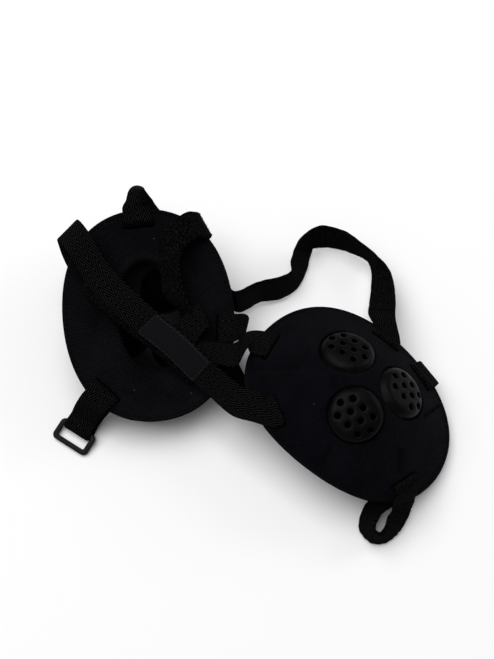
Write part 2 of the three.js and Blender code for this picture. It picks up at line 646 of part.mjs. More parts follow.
const foreheadStart = threaded(RIGHT_CUP, 'forehead', 'inner', [-TAIL, -LEAVING], 'outer', [LEAVING]);
const foreheadPath = addStrap('forehead_strap', [
  ...foreheadStart,
  ...FOREHEAD_SPAN.map(inTheOpen),
  ...FOREHEAD_FOLD.map(inTheOpen),
  ...threaded(LEFT_CUP, 'forehead', 'outer', [NEAR_RIM, LEAVING], 'inner', [-LEAVING]),
  ...FOREHEAD_SPAN.slice(3).reverse().map((row) => inTheOpen({ ...row, layer: 1 })),
]);
addMesh(assembly, 'name_patch', stripGeometry(foreheadPath, {
  ...stretchAround(foreheadPath, foreheadStart.length + PATCH_SPAN_ROW, PATCH_LENGTH),
  width: PATCH_WIDTH,
  thickness: PATCH_THICKNESS,
  lift: STRAP_THICKNESS / 2 + GAP + PATCH_THICKNESS / 2,
  steps: 6,
}), materials.patch);

addStrap('crown_strap', [
  ...threaded(LEFT_CUP, 'crown', 'outer', [-TAIL, -LEAVING], 'inner', [LEAVING, SLOT_INSET]),
  ...CROWN_SPAN.map(inTheOpen),
  ...threaded(RIGHT_CUP, 'crown', 'outer', [NEAR_RIM, LEAVING], 'inner', [-LEAVING, -TAIL]),
]);

// Where the upper back strap is sewn to the left cup
const BACK_HIGH_SEAM = [104, 0];
const backHighStart = [-2, 7].map((inset) => onFace(LEFT_CUP, BACK_HIGH_SEAM, 'outer', inset));
const backHighPath = addStrap('back_strap_upper', [
  ...backHighStart,
  ...BACK_HIGH_SPAN.map(inTheOpen),
  ...threaded(RIGHT_CUP, 'back_high', 'outer', [LEAVING], 'inner', [-LEAVING, -TAIL]),
]);
addMesh(assembly, 'hook_tab', stripGeometry(backHighPath, {
  ...stretchAround(backHighPath, backHighStart.length + TAB_SPAN_ROW, TAB_LENGTH),
  width: PATCH_WIDTH,
  thickness: TAB_THICKNESS,
  lift: -(STRAP_THICKNESS / 2 + 1.2 * STRAP_LIFT + TAB_THICKNESS / 2),
  steps: 8,
}), materials.hook);

addStrap('back_strap_lower', [
  ...threaded(LEFT_CUP, 'back_low', 'outer', [-7, -LEAVING], 'inner', [LEAVING, NEAR_RIM]),
  ...BACK_LOW_SPAN.map(inTheOpen),
  onFace(RIGHT_CUP, RIGHT_CUP.slots.back_low, 'inner', NEAR_RIM),
  onFace(RIGHT_CUP, RIGHT_CUP.slots.back_low, 'middle', 13),
  ...threaded(RIGHT_CUP, 'back_low', 'outer', [NEAR_RIM, LEAVING], 'inner', [-LEAVING, -TAIL]),
]);

addStrap('chin_strap_right', [
  onFace(RIGHT_CUP, RIGHT_CUP.slots.chin, 'inner', 7, 1.7),
  ...CHIN_LOOP.map(inTheOpen),
  ...threaded(RIGHT_CUP, 'chin', 'outer', [LEAVING], 'inner', [-LEAVING, -TAIL]),
]);

addStrap('chin_strap_left', [
  ...threaded(LEFT_CUP, 'chin', 'outer', [-14, -LEAVING], 'inner', [LEAVING, SLOT_INSET]),
  ...CHIN_DROP.map(inTheOpen),
  roundTheBar(BAR_WRAP + 3, BAR_WRAP),
  roundTheBar(0, BAR_WRAP),
  roundTheBar(-BAR_WRAP, 0),
  roundTheBar(0, -BAR_WRAP),
  roundTheBar(BAR_WRAP + 3, -BAR_WRAP + 1),
  ...CHIN_RETURN.map(inTheOpen),
  onFace(LEFT_CUP, LEFT_CUP.slots.chin, 'outer', 7),
]);

// The part's origin is under the middle of its box, on the table
const box = new THREE.Box3().setFromObject(assembly, true);
const middle = box.getCenter(new V3());
assembly.position.set(-middle.x, -middle.y, -box.min.z);
const root = new THREE.Group();
root.add(assembly);

export default root;
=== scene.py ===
import math

import bpy
import numpy as np
from mathutils import Matrix, Vector, kdtree
from mathutils.geometry import delaunay_2d_cdt


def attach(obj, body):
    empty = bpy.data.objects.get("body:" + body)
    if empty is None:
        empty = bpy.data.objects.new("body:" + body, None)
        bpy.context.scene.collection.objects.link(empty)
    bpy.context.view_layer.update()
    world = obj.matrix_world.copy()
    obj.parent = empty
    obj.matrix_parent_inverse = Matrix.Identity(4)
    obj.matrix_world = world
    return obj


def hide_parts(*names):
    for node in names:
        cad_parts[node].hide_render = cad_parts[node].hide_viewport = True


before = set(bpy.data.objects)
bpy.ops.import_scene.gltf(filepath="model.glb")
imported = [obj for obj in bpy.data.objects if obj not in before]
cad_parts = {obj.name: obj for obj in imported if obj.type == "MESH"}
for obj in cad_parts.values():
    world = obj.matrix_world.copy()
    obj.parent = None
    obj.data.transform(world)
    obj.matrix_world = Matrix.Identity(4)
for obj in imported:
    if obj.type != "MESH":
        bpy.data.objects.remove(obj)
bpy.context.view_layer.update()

# Neoprene covers: the outer face of each ear cup, a dome of knit-faced neoprene 2.2 mm thick with
# three round openings for the shell and a slot for each strap. The cups mirror each other; the
# left one lies on its dome with its lining up, and the right one lies on its rim.
CUP_LENGTH = 0.138
CUP_WIDTH = 0.107
CUP_SQUARENESS = 0.018
DOME_HEIGHT = 0.028
DOME_EASE = 1.25
COVER_WALL = 0.0022
LEFT = {
    "name": "left", "hand": -1, "middle": (-0.06261, 0.02540, 0.03275),
    "yaw": -82.4, "pitch": 12.5, "roll": -2, "over": 180, "saddle": 0.0, "twist": 0.0,
    "slots": {"forehead": (-128, 0), "crown": (-179, 0), "back_low": (76, 0), "chin": (-42, 0)},
}
RIGHT = {
    "name": "right", "hand": 1, "middle": (0.06048, -0.03014, 0.02535),
    "yaw": -39.5, "pitch": 10, "roll": -8, "over": 0, "saddle": -0.003, "twist": -0.003,
    "slots": {
        "forehead": (-116, -11), "crown": (-168, 0), "back_high": (98, 0), "back_low": (70, 0),
        "chin": (-27, 13),
    },
}
CUPS = [LEFT, RIGHT]
RIM_POINTS = 300


def rim_point(angle):
    stretch = 1 - CUP_SQUARENESS * np.cos(4 * angle)
    x = CUP_LENGTH / 2 * np.cos(angle) * stretch
    y = CUP_WIDTH / 2 * np.sin(angle) * stretch
    return np.stack([x, y], -1)


def rim_share(x, y):
    """How far out a point of the cup is, from 0 at the middle to 1 at the rim."""
    along, across = x / (CUP_LENGTH / 2), y / (CUP_WIDTH / 2)
    return np.hypot(along, across) / (1 - CUP_SQUARENESS * np.cos(4 * np.arctan2(across, along)))


def bend(cup, x, y):
    """How the soft cup bends as it lies."""
    angle = np.arctan2(y / CUP_WIDTH, x / CUP_LENGTH)
    lift = cup["saddle"] * np.cos(2 * angle) + cup["twist"] * np.sin(2 * angle)
    return rim_share(x, y) ** 2 * lift


def dome(cup, x, y):
    inward = np.maximum(0, 1 - rim_share(x, y) ** 2)
    return bend(cup, x, y) + DOME_HEIGHT * inward ** DOME_EASE


def cup_turn(cup):
    turns = [("yaw", "Z"), ("roll", "X"), ("pitch", "Y"), ("over", "X")]
    turn = Matrix.Identity(3)
    for name, axis in turns:
        turn = turn @ Matrix.Rotation(math.radians(cup[name]), 3, axis)
    return np.array(turn)


def lay_down(cup, points):
    """Points of a cup's own frame, where the cup lies on the table."""
    return points @ cup_turn(cup).T + np.array(cup["middle"])


def with_height(points, height):
    return np.column_stack([points, height])


# A flat piece of cloth, foam or plastic is cut to a pattern and then laid on its two faces.
def moved_loop(loop, distance):
    """A loop moved to its left by a distance. Cut edges run with the material on their left."""
    way = np.roll(loop, -1, 0) - np.roll(loop, 1, 0)
    way /= np.linalg.norm(way, axis=1, keepdims=True)
    return loop + distance * np.column_stack([-way[:, 1], way[:, 0]])


def inside(loop, points):
    x, y = points[:, :1], points[:, 1:]
    x0, y0 = loop.T
    x1, y1 = np.roll(loop, -1, 0).T
    rise = np.where(y1 == y0, 1.0, y1 - y0)
    crossed = ((y0 > y) != (y1 > y)) & (x < (x1 - x0) * (y - y0) / rise + x0)
    return crossed.sum(1) % 2 == 1


def cut_piece(outline, holes, lips, spacing, marks=()):
    """The points and triangles of a cut piece, and each point's distance from a cut edge. Lips are
    the distances of the rows of points beside the edges; marks are lines that the mesh follows."""
    cuts = [outline, *holes]
    loops = [(cut, 0.0) for cut in cuts]
    loops += [(moved_loop(cut, lip), lip) for lip in lips for cut in cuts]
    loops += [(mark, 1.0) for mark in marks]
    points = np.concatenate([loop for loop, _ in loops])
    depth = np.concatenate([np.full(len(loop), lip) for loop, lip in loops])
    edges = []
    start = 0
    for loop, _ in loops:
        count = len(loop)
        edges += [(start + i, start + (i + 1) % count) for i in range(count)]
        start += count
    tree = kdtree.KDTree(len(points))
    for i, point in enumerate(points):
        tree.insert((point[0], point[1], 0), i)
    tree.balance()
    low, high = outline.min(0), outline.max(0)
    columns = np.arange(low[0], high[0], spacing)
    rows = np.arange(low[1], high[1], spacing * math.sqrt(3) / 2)
    x, y = np.meshgrid(columns, rows)
    x[1::2] += spacing / 2
    field = np.column_stack([x.ravel(), y.ravel()])
    field = field[inside(outline, field)]
    for hole in holes:
        field = field[~inside(hole, field)]
    clear = [tree.find((p[0], p[1], 0))[2] > 0.6 * spacing for p in field]
    field = field[np.array(clear)]
    points = np.concatenate([points, field])
    depth = np.concatenate([depth, np.full(len(field), 1.0)])
    found = delaunay_2d_cdt([Vector(p) for p in points], edges, [], 0, 1e-7)
    flat = np.array(found[0])
    triangles = np.array(found[2])
    depth = np.array([min(depth[i] for i in origin) if origin else 1.0 for origin in found[3]])
    centres = flat[triangles].mean(1)
    kept = inside(outline, centres)
    for hole in holes:
        kept &= ~inside(hole, centres)
    return flat, triangles[kept], depth


def add_mesh(name, vertices, faces, material, uv=None):
    mesh = bpy.data.meshes.new(name)
    mesh.from_pydata(np.asarray(vertices).tolist(), [], [list(map(int, face)) for face in faces])
    mesh.materials.append(material)
    mesh.polygons.foreach_set("use_smooth", [True] * len(mesh.polygons))
    if uv is not None:
        layer = mesh.uv_layers.new(name="UVMap")
        corners = np.zeros(len(mesh.loops), int)
        mesh.loops.foreach_get("vertex_index", corners)
        layer.data.foreach_set("uv", np.asarray(uv)[corners].ravel())
    mesh.validate()
    piece = bpy.data.objects.new(name, mesh)
    bpy.context.scene.collection.objects.link(piece)
    return piece


def add_layer(name, cup, cut, upper, under, lip, material):
    """A closed layer between two faces over a cut piece, with its cut edges rounded over."""
    flat, triangles, depth = cut
    top = with_height(flat, upper(flat[:, 0], flat[:, 1])) if callable(upper) else upper
    bottom = with_height(flat, under(flat[:, 0], flat[:, 1])) if callable(under) else under
    fullness = np.sqrt(1 - (1 - np.minimum(depth / lip, 1)) ** 2)[:, None]
    middle = (top + bottom) / 2
    top = middle + fullness * (top - middle)
    bottom = middle + fullness * (bottom - middle)
    shared = depth == 0
    count = len(flat)
    below = np.where(shared, np.arange(count), count + np.cumsum(~shared) - 1)
    vertices = lay_down(cup, np.concatenate([top, bottom[~shared]]))
    faces = np.concatenate([triangles, below[triangles][:, ::-1]])
    uv = np.concatenate([flat, flat[~shared]])
    return add_mesh(name, vertices, faces, material, uv)


OPENING_DIAMETER = 0.034
OPENINGS = [(150, 0.024), (40, 0.0255), (-67, 0.0195)]
SLOT_INSET = 0.010
SLOT_LENGTH = 0.0192
SLOT_OPEN = 0.0022
SLIT_LENGTH = 0.017
SLIT_OPEN = 0.0008
STRAP_WIDTH = 0.018


def opening_frame(cup, opening):
    """An opening's middle on the dome, and the two ways across it and the way out of it."""
    bearing, distance = opening
    angle = math.radians(cup["hand"] * bearing)
    x, y = distance * math.cos(angle), distance * math.sin(angle)
    probe = 0.0005
    slope_x = (dome(cup, x + probe, y) - dome(cup, x - probe, y)) / (2 * probe)
    slope_y = (dome(cup, x, y + probe) - dome(cup, x, y - probe)) / (2 * probe)
    out = Vector((-slope_x, -slope_y, 1)).normalized()
    axes = np.array(Vector((0, 0, 1)).rotation_difference(out).to_matrix())
    return np.array([x, y, float(dome(cup, x, y))]), axes


def across_opening(cup, opening, spots):
    """Where spots on an opening's own plane come on the cup's flat pattern."""
    middle, axes = opening_frame(cup, opening)
    height = np.zeros(len(spots))
    for _ in range(8):
        points = middle + np.column_stack([spots, height]) @ axes.T
        height += (dome(cup, points[:, 0], points[:, 1]) - points[:, 2]) * axes[2, 2]
    return points[:, :2]


def circle(radius, count):
    angle = np.linspace(0, 2 * math.pi, count, endpoint=False)
    return radius * np.column_stack([np.cos(angle), np.sin(angle)])


def slot_frame(cup, place):
    """The middle of a slot and the ways along it and outward, from its bearing and its turn."""
    angle = math.radians(cup["hand"] * place[0])
    rim = rim_point(angle)
    along = rim_point(angle + 0.01) - rim
    along /= np.linalg.norm(along)
    middle = rim - SLOT_INSET * np.array([along[1], -along[0]])
    turn = math.radians(place[1])
    along = np.array([
        along[0] * math.cos(turn) - along[1] * math.sin(turn),
        along[0] * math.sin(turn) + along[1] * math.cos(turn),
    ])
    return middle, along, np.array([along[1], -along[0]])


def slot_loops(cup, wide):
    """The cut of each slot. It gapes on the face that is seen, and is a slit on the other."""
    opened, length = (SLOT_OPEN, SLOT_LENGTH) if wide else (SLIT_OPEN, SLIT_LENGTH)
    loops = []
    steps = np.linspace(-0.5, 0.5, 15)
    turn = np.linspace(-math.pi / 2, math.pi / 2, 7)[1:-1]
    for place in cup["slots"].values():
        middle, along, outward = slot_frame(cup, place)
        straight = length - opened
        side = np.column_stack([steps * straight, np.full(15, -opened / 2)])
        end = np.column_stack([
            straight / 2 + opened / 2 * np.cos(turn),
            opened / 2 * np.sin(turn),
        ])
        half = np.concatenate([side, end])
        loop = np.concatenate([half, -half])
        placed = middle + loop[:, :1] * along - loop[:, 1:] * outward
        after = np.roll(placed, -1, 0)
        area = np.sum(placed[:, 0] * after[:, 1] - after[:, 0] * placed[:, 1])
        loops.append(placed[::-1] if area > 0 else placed)
    return loops


class Finish:
    """A material made of nodes, with short ways to add them and to join them."""

    def __init__(self, name, roughness, specular, sheen=0.0, sheen_roughness=0.5):
        self.material = bpy.data.materials.new(name)
        self.material.use_nodes = True
        self.tree = self.material.node_tree
        self.shader = self.tree.nodes["Principled BSDF"]
        self.shader.inputs["Roughness"].default_value = roughness
        self.shader.inputs["Specular IOR Level"].default_value = specular
        self.shader.inputs["Sheen Weight"].default_value = sheen
        self.shader.inputs["Sheen Roughness"].default_value = sheen_roughness

    def node(self, kind, inputs=None, **settings):
        node = self.tree.nodes.new("ShaderNode" + kind)
        for setting, value in settings.items():
            setattr(node, setting, value)
        for socket, value in (inputs or {}).items():
            self.join(value, node.inputs[socket])
        return node

    def join(self, value, socket):
        if isinstance(value, bpy.types.NodeSocket):
            self.tree.links.new(value, socket)
        else:
            socket.default_value = value

    def math(self, operation, first, second=0.0, third=0.0):
        inputs = {0: first, 1: second, 2: third}
        return self.node("Math", inputs, operation=operation).outputs[0]

    def noise(self, scale, detail=2.0, where=None):
        inputs = {"Scale": scale, "Detail": detail}
        if where is not None:
            inputs["Vector"] = where
        return self.node("TexNoise", inputs).outputs[0]

    def place(self):
        """Positions on the piece in metres."""
        return self.node("TexCoord").outputs["Object"]

    def pattern_place(self):
        """Metres across and along the piece's pattern."""
        split = self.node("SeparateXYZ", {0: self.node("TexCoord").outputs["UV"]}).outputs
        return split[0], split[1]

    def wave(self, value, length):
        return self.math("SINE", self.math("MULTIPLY", value, 2 * math.pi / length))

    def blend(self, share, first, second):
        node = self.node("Mix", {"Factor": share}, data_type="RGBA")
        self.join((*first, 1) if isinstance(first, tuple) else first, node.inputs["A"])
        self.join((*second, 1) if isinstance(second, tuple) else second, node.inputs["B"])
        return node.outputs["Result"]

    def between(self, value, low, high):
        """The value's share of the way from low to high."""
        inputs = {"Value": value, "From Min": low, "From Max": high}
        return self.node("MapRange", inputs).outputs[0]

    def colour(self, value):
        self.join(value, self.shader.inputs["Base Color"])

    def relief(self, height, depth, under=None):
        inputs = {"Height": height, "Distance": depth}
        if under is not None:
            inputs["Normal"] = under
        return self.node("Bump", inputs).outputs[0]

    def surface(self, normal):
        self.join(normal, self.shader.inputs["Normal"])


KNIT_COURSE = 0.0015
KNIT_WALE = 0.0013


def neoprene(name, knit_depth, dark, light):
    """Knit jersey over foam rubber: fine slanting ribs, a soft nap and a little lint."""
    finish = Finish(name, 0.85, 0.014, sheen=0.009, sheen_roughness=0.5)
    across, along = finish.pattern_place()
    course = finish.wave(finish.math("ADD", across, along), KNIT_COURSE)
    knit = finish.math("MULTIPLY", course, finish.wave(along, KNIT_WALE))
    place = finish.place()
    nap = finish.noise(1400, 3, place)
    mottle = finish.noise(60, 4, place)
    lint = finish.node("TexVoronoi", {"Vector": place, "Scale": 170}).outputs["Distance"]
    rare = finish.math("GREATER_THAN", finish.noise(90, 1, place), 0.62)
    speck = finish.math("MULTIPLY", finish.math("LESS_THAN", lint, 0.1), rare)
    wear = finish.math("ADD", mottle, finish.math("MULTIPLY", nap, 1.6))
    tone = finish.between(finish.math("MULTIPLY_ADD", knit, 0.5, wear), 0.85, 1.8)
    cloth = finish.blend(tone, dark, light)
    finish.colour(finish.blend(finish.math("MULTIPLY", speck, 0.35), cloth, (0.05, 0.05, 0.056)))
    ribs = finish.relief(knit, knit_depth)
    finish.surface(finish.relief(nap, 0.00025, ribs))
    return finish.material


cover_cloth = neoprene("cover_neoprene", 0.00022, (0.0005, 0.0005, 0.0011), (0.0044, 0.0045, 0.0066))
COVER_LIPS = [0.00015, 0.0005, 0.0011, 0.0021]
MESH_SPACING = 0.0016
RIM_SEAM = 0.0021
SEAM_DENT = 0.00045
SEAM_WIDTH = 0.0008


def seam_dent(cup, x, y):
    """The dent that the rim's seam pulls into a face of the cup."""
    from_rim = (1 - rim_share(x, y)) * (CUP_LENGTH + CUP_WIDTH) / 4
    return SEAM_DENT * np.exp(-((from_rim - RIM_SEAM) / SEAM_WIDTH) ** 2)


DARTS = [
    ((-0.0575, -0.0275), (-0.0345, -0.0145)),
    ((0.0085, -0.0370), (0.0120, -0.0475)),
    ((0.0390, -0.0105), (0.0475, -0.0195)),
    ((0.0380, 0.0180), (0.0420, 0.0395)),
]
DART_WIDTH = 0.0012
DART_DENT = 0.0016


def dart_line(cup, dart):
    """The start of a dart, the way along it and its length, on the cup's flat pattern."""
    start, end = [np.array([x, cup["hand"] * y]) for x, y in dart]
    length = np.linalg.norm(end - start)
    return start, (end - start) / length, length


def dart_dent(cup, x, y):
    """The shallow groove along each dart."""
    dent = np.zeros(np.shape(x))
    for dart in DARTS:
        start, way, length = dart_line(cup, dart)
        along = (x - start[0]) * way[0] + (y - start[1]) * way[1]
        aside = (x - start[0]) * way[1] - (y - start[1]) * way[0]
        within = (along > 0) & (along < length)
        dent += within * DART_DENT * np.exp(-(aside / DART_WIDTH) ** 2)
    return dent


def cover_face(cup, x, y):
    return dome(cup, x, y) - seam_dent(cup, x, y) - dart_dent(cup, x, y)


for cup in CUPS:
    outline = rim_point(np.linspace(0, 2 * math.pi, RIM_POINTS, endpoint=False))
    openings = [
        across_opening(cup, opening, circle(OPENING_DIAMETER / 2, 72))[::-1]
        for opening in OPENINGS
    ]
    slots = slot_loops(cup, cup["over"] == 0)
    cut = cut_piece(outline, [*openings, *slots], COVER_LIPS, MESH_SPACING)
    cover = add_layer(
        cup["name"] + "_cover_cloth", cup, cut,
        lambda x, y: cover_face(cup, x, y),
        lambda x, y: dome(cup, x, y) - COVER_WALL,
        COVER_WALL / 2, cover_cloth,
    )
    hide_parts(cup["name"] + "_cover")
    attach(cover, "root")

# Hard shells: one moulding of satin black plastic 1.8 mm thick in each cup, under the cover. Its
# three raised bubbles stand in the cover's openings, and each is drilled with ten vents.
SHELL_WALL = 0.0018
SHELL_REACH = 0.69
GAP = 0.00035
BUBBLE_RADII = np.array([0.0, 0.0060, 0.0105, 0.0130, 0.0146, 0.0156, 0.0161, 0.01635])
BUBBLE_HEIGHTS = np.array([0.0023, 0.0021, 0.0016, 0.0009, 0.0, -0.0011, -0.0024, -0.0050])
GUIDE_RADII = [0.0131, 0.0136, 0.0141, 0.0146, 0.0151, 0.0156, 0.0159, 0.0162, 0.0165]
SHELL_LIP = 0.0008
VENT_DIAMETER = 0.0034
VENT_PITCH = 0.0076


def shell_faces(cup, flat):
    """The shell's upper and under faces: the dome's own form, raised at each bubble."""
    faces = []
    for sink in (COVER_WALL + GAP, COVER_WALL + GAP + SHELL_WALL):
        face = with_height(flat, dome(cup, flat[:, 0], flat[:, 1]) - sink)
        wall = sink - COVER_WALL - GAP
        for opening in OPENINGS:
            middle, axes = opening_frame(cup, opening)
            spots = (face - middle) @ axes
            radius = np.hypot(spots[:, 0], spots[:, 1])
            raised = np.interp(radius + 0.8 * wall, BUBBLE_RADII, BUBBLE_HEIGHTS) - wall
            within = radius + 0.8 * wall < BUBBLE_RADII[-1]
            spots[within, 2] = np.maximum(spots[within, 2], raised[within])
            face = spots @ axes.T + middle
        faces.append(face)
    return faces


def vent_spots():
    rows = [(-1, 3), (0, 4), (1, 3)]
    return [
        ((i - (count - 1) / 2) * VENT_PITCH, row * VENT_PITCH * math.sin(math.radians(60)))
        for row, count in rows for i in range(count)
    ]


def moulded_plastic(name, dark, light, roughness, specular):
    """Satin moulded plastic, with a faint grain and dust that dulls it in places."""
    finish = Finish(name, roughness, specular)
    place = finish.place()
    grain = finish.noise(2600, 2, place)
    cloud = finish.between(finish.noise(120, 4, place), 0.35, 0.7)
    finish.colour(finish.blend(cloud, dark, light))
    finish.join(finish.node("MapRange", {
        "Value": cloud, "To Min": roughness - 0.06, "To Max": roughness + 0.1,
    }).outputs[0], finish.shader.inputs["Roughness"])
    finish.surface(finish.relief(grain, 0.00004))
    return finish.material


shell_plastic = moulded_plastic(
    "shell_plastic", (0.0010, 0.0010, 0.0010), (0.0020, 0.0020, 0.0020), 0.4, 0.05,
)
for cup in CUPS:
    outline = rim_point(np.linspace(0, 2 * math.pi, 180, endpoint=False)) * SHELL_REACH
    vents = []
    guides = []
    for opening in OPENINGS:
        for spot in vent_spots():
            vent = np.array(spot) + circle(VENT_DIAMETER / 2, 18)
            vents.append(across_opening(cup, opening, vent)[::-1])
        for radius in GUIDE_RADII:
            guides.append(across_opening(cup, opening, circle(radius, 80)))
    cut = cut_piece(outline, vents, [0.0003, SHELL_LIP], MESH_SPACING, guides)
    upper, under = shell_faces(cup, cut[0])
    shell = add_layer(
        cup["name"] + "_shell_moulding", cup, cut, upper, under, SHELL_LIP, shell_plastic,
    )
    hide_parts(cup["name"] + "_shell")
    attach(shell, "root")

# Painted shade behind the vents: a thin black disc behind the vents of each bubble, held by the
# shell, that stands for the shade inside the cup. The real cup has no such disc.
SHADE_DISC_RADIUS = 0.0133
SHADE_DISC_DEPTH = 0.0021
SHADE_DISC_THICKNESS = 0.0004
SHADE_DISC_SIDES = 48
# Painted shade: a dark colour with a faint mottle, for discs that stand for shade and not for a real
# part.
shade_finish = Finish("painted_vent_shade", 0.95, 0.01)
shade_mottle = shade_finish.noise(900, 3, shade_finish.place())
shade_finish.colour(shade_finish.blend(shade_mottle, (0.0004, 0.0004, 0.0004), (0.0016, 0.0016, 0.0017)))
for cup in CUPS:
    for number, opening in enumerate(OPENINGS):
        middle, axes = opening_frame(cup, opening)
        disc = circle(SHADE_DISC_RADIUS, SHADE_DISC_SIDES)
        depths = (SHADE_DISC_DEPTH, SHADE_DISC_DEPTH + SHADE_DISC_THICKNESS)
        rings = [with_height(disc, np.full(SHADE_DISC_SIDES, -depth)) for depth in depths]
        faces = [tuple(range(SHADE_DISC_SIDES)), tuple(reversed(range(SHADE_DISC_SIDES, 2 * SHADE_DISC_SIDES)))]
        for i in range(SHADE_DISC_SIDES):
            after = (i + 1) % SHADE_DISC_SIDES
            faces.append((i, i + SHADE_DISC_SIDES, after + SHADE_DISC_SIDES, after))
        shade_disc = add_mesh(
            f"{cup['name']}_vent_shade_disc_{number + 1}",
            lay_down(cup, np.concatenate(rings) @ axes.T + middle), faces, shade_finish.material,
        )
        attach(shade_disc, "root")

# Ear pads: the lining of each cup, neoprene over soft foam, with an oval hole for the ear. It is
# sewn to the cover round the rim, and tapers there.
SHELL_ROOM = 0.0009
PAD_EDGE = 0.0025
PAD_STEP = 0.8
BOWL_DEPTH = 0.012
EAR_HOLE_LENGTH = 0.070
EAR_HOLE_WIDTH = 0.038
EAR_LIP = 0.0009
LIP_MIDDLE = 0.0016
LIP_WIDTH = 0.0014
PAD_WAVES = 0.0003
PAD_ROUNDING = 0.0018
PAD_LIPS = [0.0002, 0.0007, 0.0014, 0.0024, 0.0036]
PAD_SPACING = 0.0017


def ear_hole(grow, count=150):
    angle = np.linspace(0, 2 * math.pi, count, endpoint=False)
    x = (EAR_HOLE_LENGTH / 2 + grow) * np.cos(angle)
    return np.column_stack([x, (EAR_HOLE_WIDTH / 2 + grow) * np.sin(angle)])


def pad_back(cup, x, y):
    """The pad's hidden face, against the shell and, outside it, the cover."""
    step = np.clip((rim_share(x, y) - SHELL_REACH - 0.01) / (PAD_STEP - SHELL_REACH - 0.01), 0, 1)
    step = step * step * (3 - 2 * step)
    return dome(cup, x, y) - COVER_WALL - GAP - (1 - step) * (SHELL_WALL + SHELL_ROOM)


def pad_face(cup, x, y):
    """The pad's face, a shallow bowl with a raised lip round the ear hole and a dent at the rim."""
    share = rim_share(x, y)
    bowl = bend(cup, x, y) + BOWL_DEPTH * np.maximum(0, 1 - share ** 2)
    bowl -= COVER_WALL + GAP + PAD_EDGE
    hole = np.hypot(x / (EAR_HOLE_LENGTH / 2), y / (EAR_HOLE_WIDTH / 2))
    from_hole = (hole - 1) * EAR_HOLE_WIDTH / 2
    lip = EAR_LIP * np.exp(-((from_hole - LIP_MIDDLE) / LIP_WIDTH) ** 2)
    softness = PAD_WAVES * np.sin(x * 130 + 1) * np.sin(y * 170 + x * 60)
    return bowl + seam_dent(cup, x, y) - lip - softness * (1 - share ** 4)


pad_cloth = neoprene("pad_neoprene", 0.0002, (0.0006, 0.0006, 0.0009), (0.0062, 0.0064, 0.0082))
for cup in CUPS:
    outline = rim_point(np.linspace(0, 2 * math.pi, RIM_POINTS, endpoint=False))
    holes = [ear_hole(0.0)[::-1], *slot_loops(cup, cup["over"] > 0)]
    cut = cut_piece(outline, holes, PAD_LIPS, PAD_SPACING)
    pad = add_layer(
        cup["name"] + "_pad_cloth", cup, cut,
        lambda x, y: pad_back(cup, x, y),
        lambda x, y: pad_face(cup, x, y),
        PAD_ROUNDING, pad_cloth,
    )
    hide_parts(cup["name"] + "_ear_pad")
    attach(pad, "root")

# Sewing on the cups: a running stitch round each rim, overlocked ear holes, and darts closed with
# a zigzag that take up the cover's fullness between the openings. The thread is black polyester.
THREAD = 0.0003
RIM_STITCH = 0.0034
LIP_STITCH = 0.0019
ZIGZAG = 0.0021
ZIGZAG_REACH = 0.0013
ZIGZAG_LIFT = np.array([-0.0001, 0.0002, 0.00035, 0.0002, -0.0001])
# An overlock stitch, from the pad's face into the ear hole: its reach from the hole and its lift
OVERLOCK_REACH = np.array([0.0034, 0.0026, 0.0015, 0.0004, -0.0001])
OVERLOCK_LIFT = np.array([0.0002, -0.0002, -0.00025, 0.0004, 0.0018])


def sew(name, runs, radius, material):
    """Stitches as one mesh of small tubes. Runs is an array of stitches of a few points each."""
    runs = np.asarray(runs, float)
    stitches, count, _ = runs.shape
    sides = 5
    way = np.gradient(runs, axis=1)
    way /= np.linalg.norm(way, axis=2, keepdims=True)
    aside = np.cross(way, np.array([0.31, 0.42, 0.85]))
    aside /= np.linalg.norm(aside, axis=2, keepdims=True)
    other = np.cross(way, aside)
    taper = np.full(count, 1.0)
    taper[[0, -1]] = 0.35
    angle = np.linspace(0, 2 * math.pi, sides, endpoint=False)[None, None, :, None]
    ring = aside[:, :, None] * np.cos(angle) + other[:, :, None] * np.sin(angle)
    vertices = runs[:, :, None] + radius * taper[None, :, None, None] * ring
    vertices = vertices.reshape(-1, 3)
    faces = []
    for stitch in range(stitches):
        start = stitch * count * sides
        for row in range(count - 1):
            for side in range(sides):
                a = start + row * sides + side
                b = start + row * sides + (side + 1) % sides
                faces.append((a, b, b + sides, a + sides))
        faces.append(tuple(start + i for i in reversed(range(sides))))
        faces.append(tuple(start + (count - 1) * sides + i for i in range(sides)))
    return add_mesh(name, vertices, faces, material)


def thread_finish(name, dark, light):
    """Twisted sewing thread, lighter where it catches the light."""
    finish = Finish(name, 0.8, 0.05)
    finish.colour(finish.blend(finish.noise(900, 3, finish.place()), dark, light))
    finish.surface(finish.relief(finish.noise(3000, 2, finish.place()), 0.0001))
    return finish.material


black_thread = thread_finish("black_thread", (0.0004, 0.0004, 0.0005), (0.0022, 0.0022, 0.0027))


def rim_stitches(cup, face, proud):
    """Running stitches round a face of the cup, each sunk at its ends. Proud is their height."""
    loop = moved_loop(rim_point(np.linspace(0, 2 * math.pi, 720, endpoint=False)), RIM_SEAM)
    step = np.linalg.norm(np.roll(loop, -1, 0) - loop, axis=1)
    reach = np.concatenate([[0], np.cumsum(step)])
    closed = np.vstack([loop, loop[:1]])
    number = int(reach[-1] / RIM_STITCH)
    starts = np.arange(number) * reach[-1] / number
    runs = []
    for start in starts:
        at = start + RIM_STITCH * np.array([0.08, 0.25, 0.5, 0.72, 0.84])
        x, y = np.interp(at, reach, closed[:, 0]), np.interp(at, reach, closed[:, 1])
        lift = np.array([-0.4, 0.7, 1, 0.7, -0.4]) * proud
        runs.append(np.column_stack([x, y, face(cup, x, y) + lift]))
    return lay_down(cup, np.array(runs))


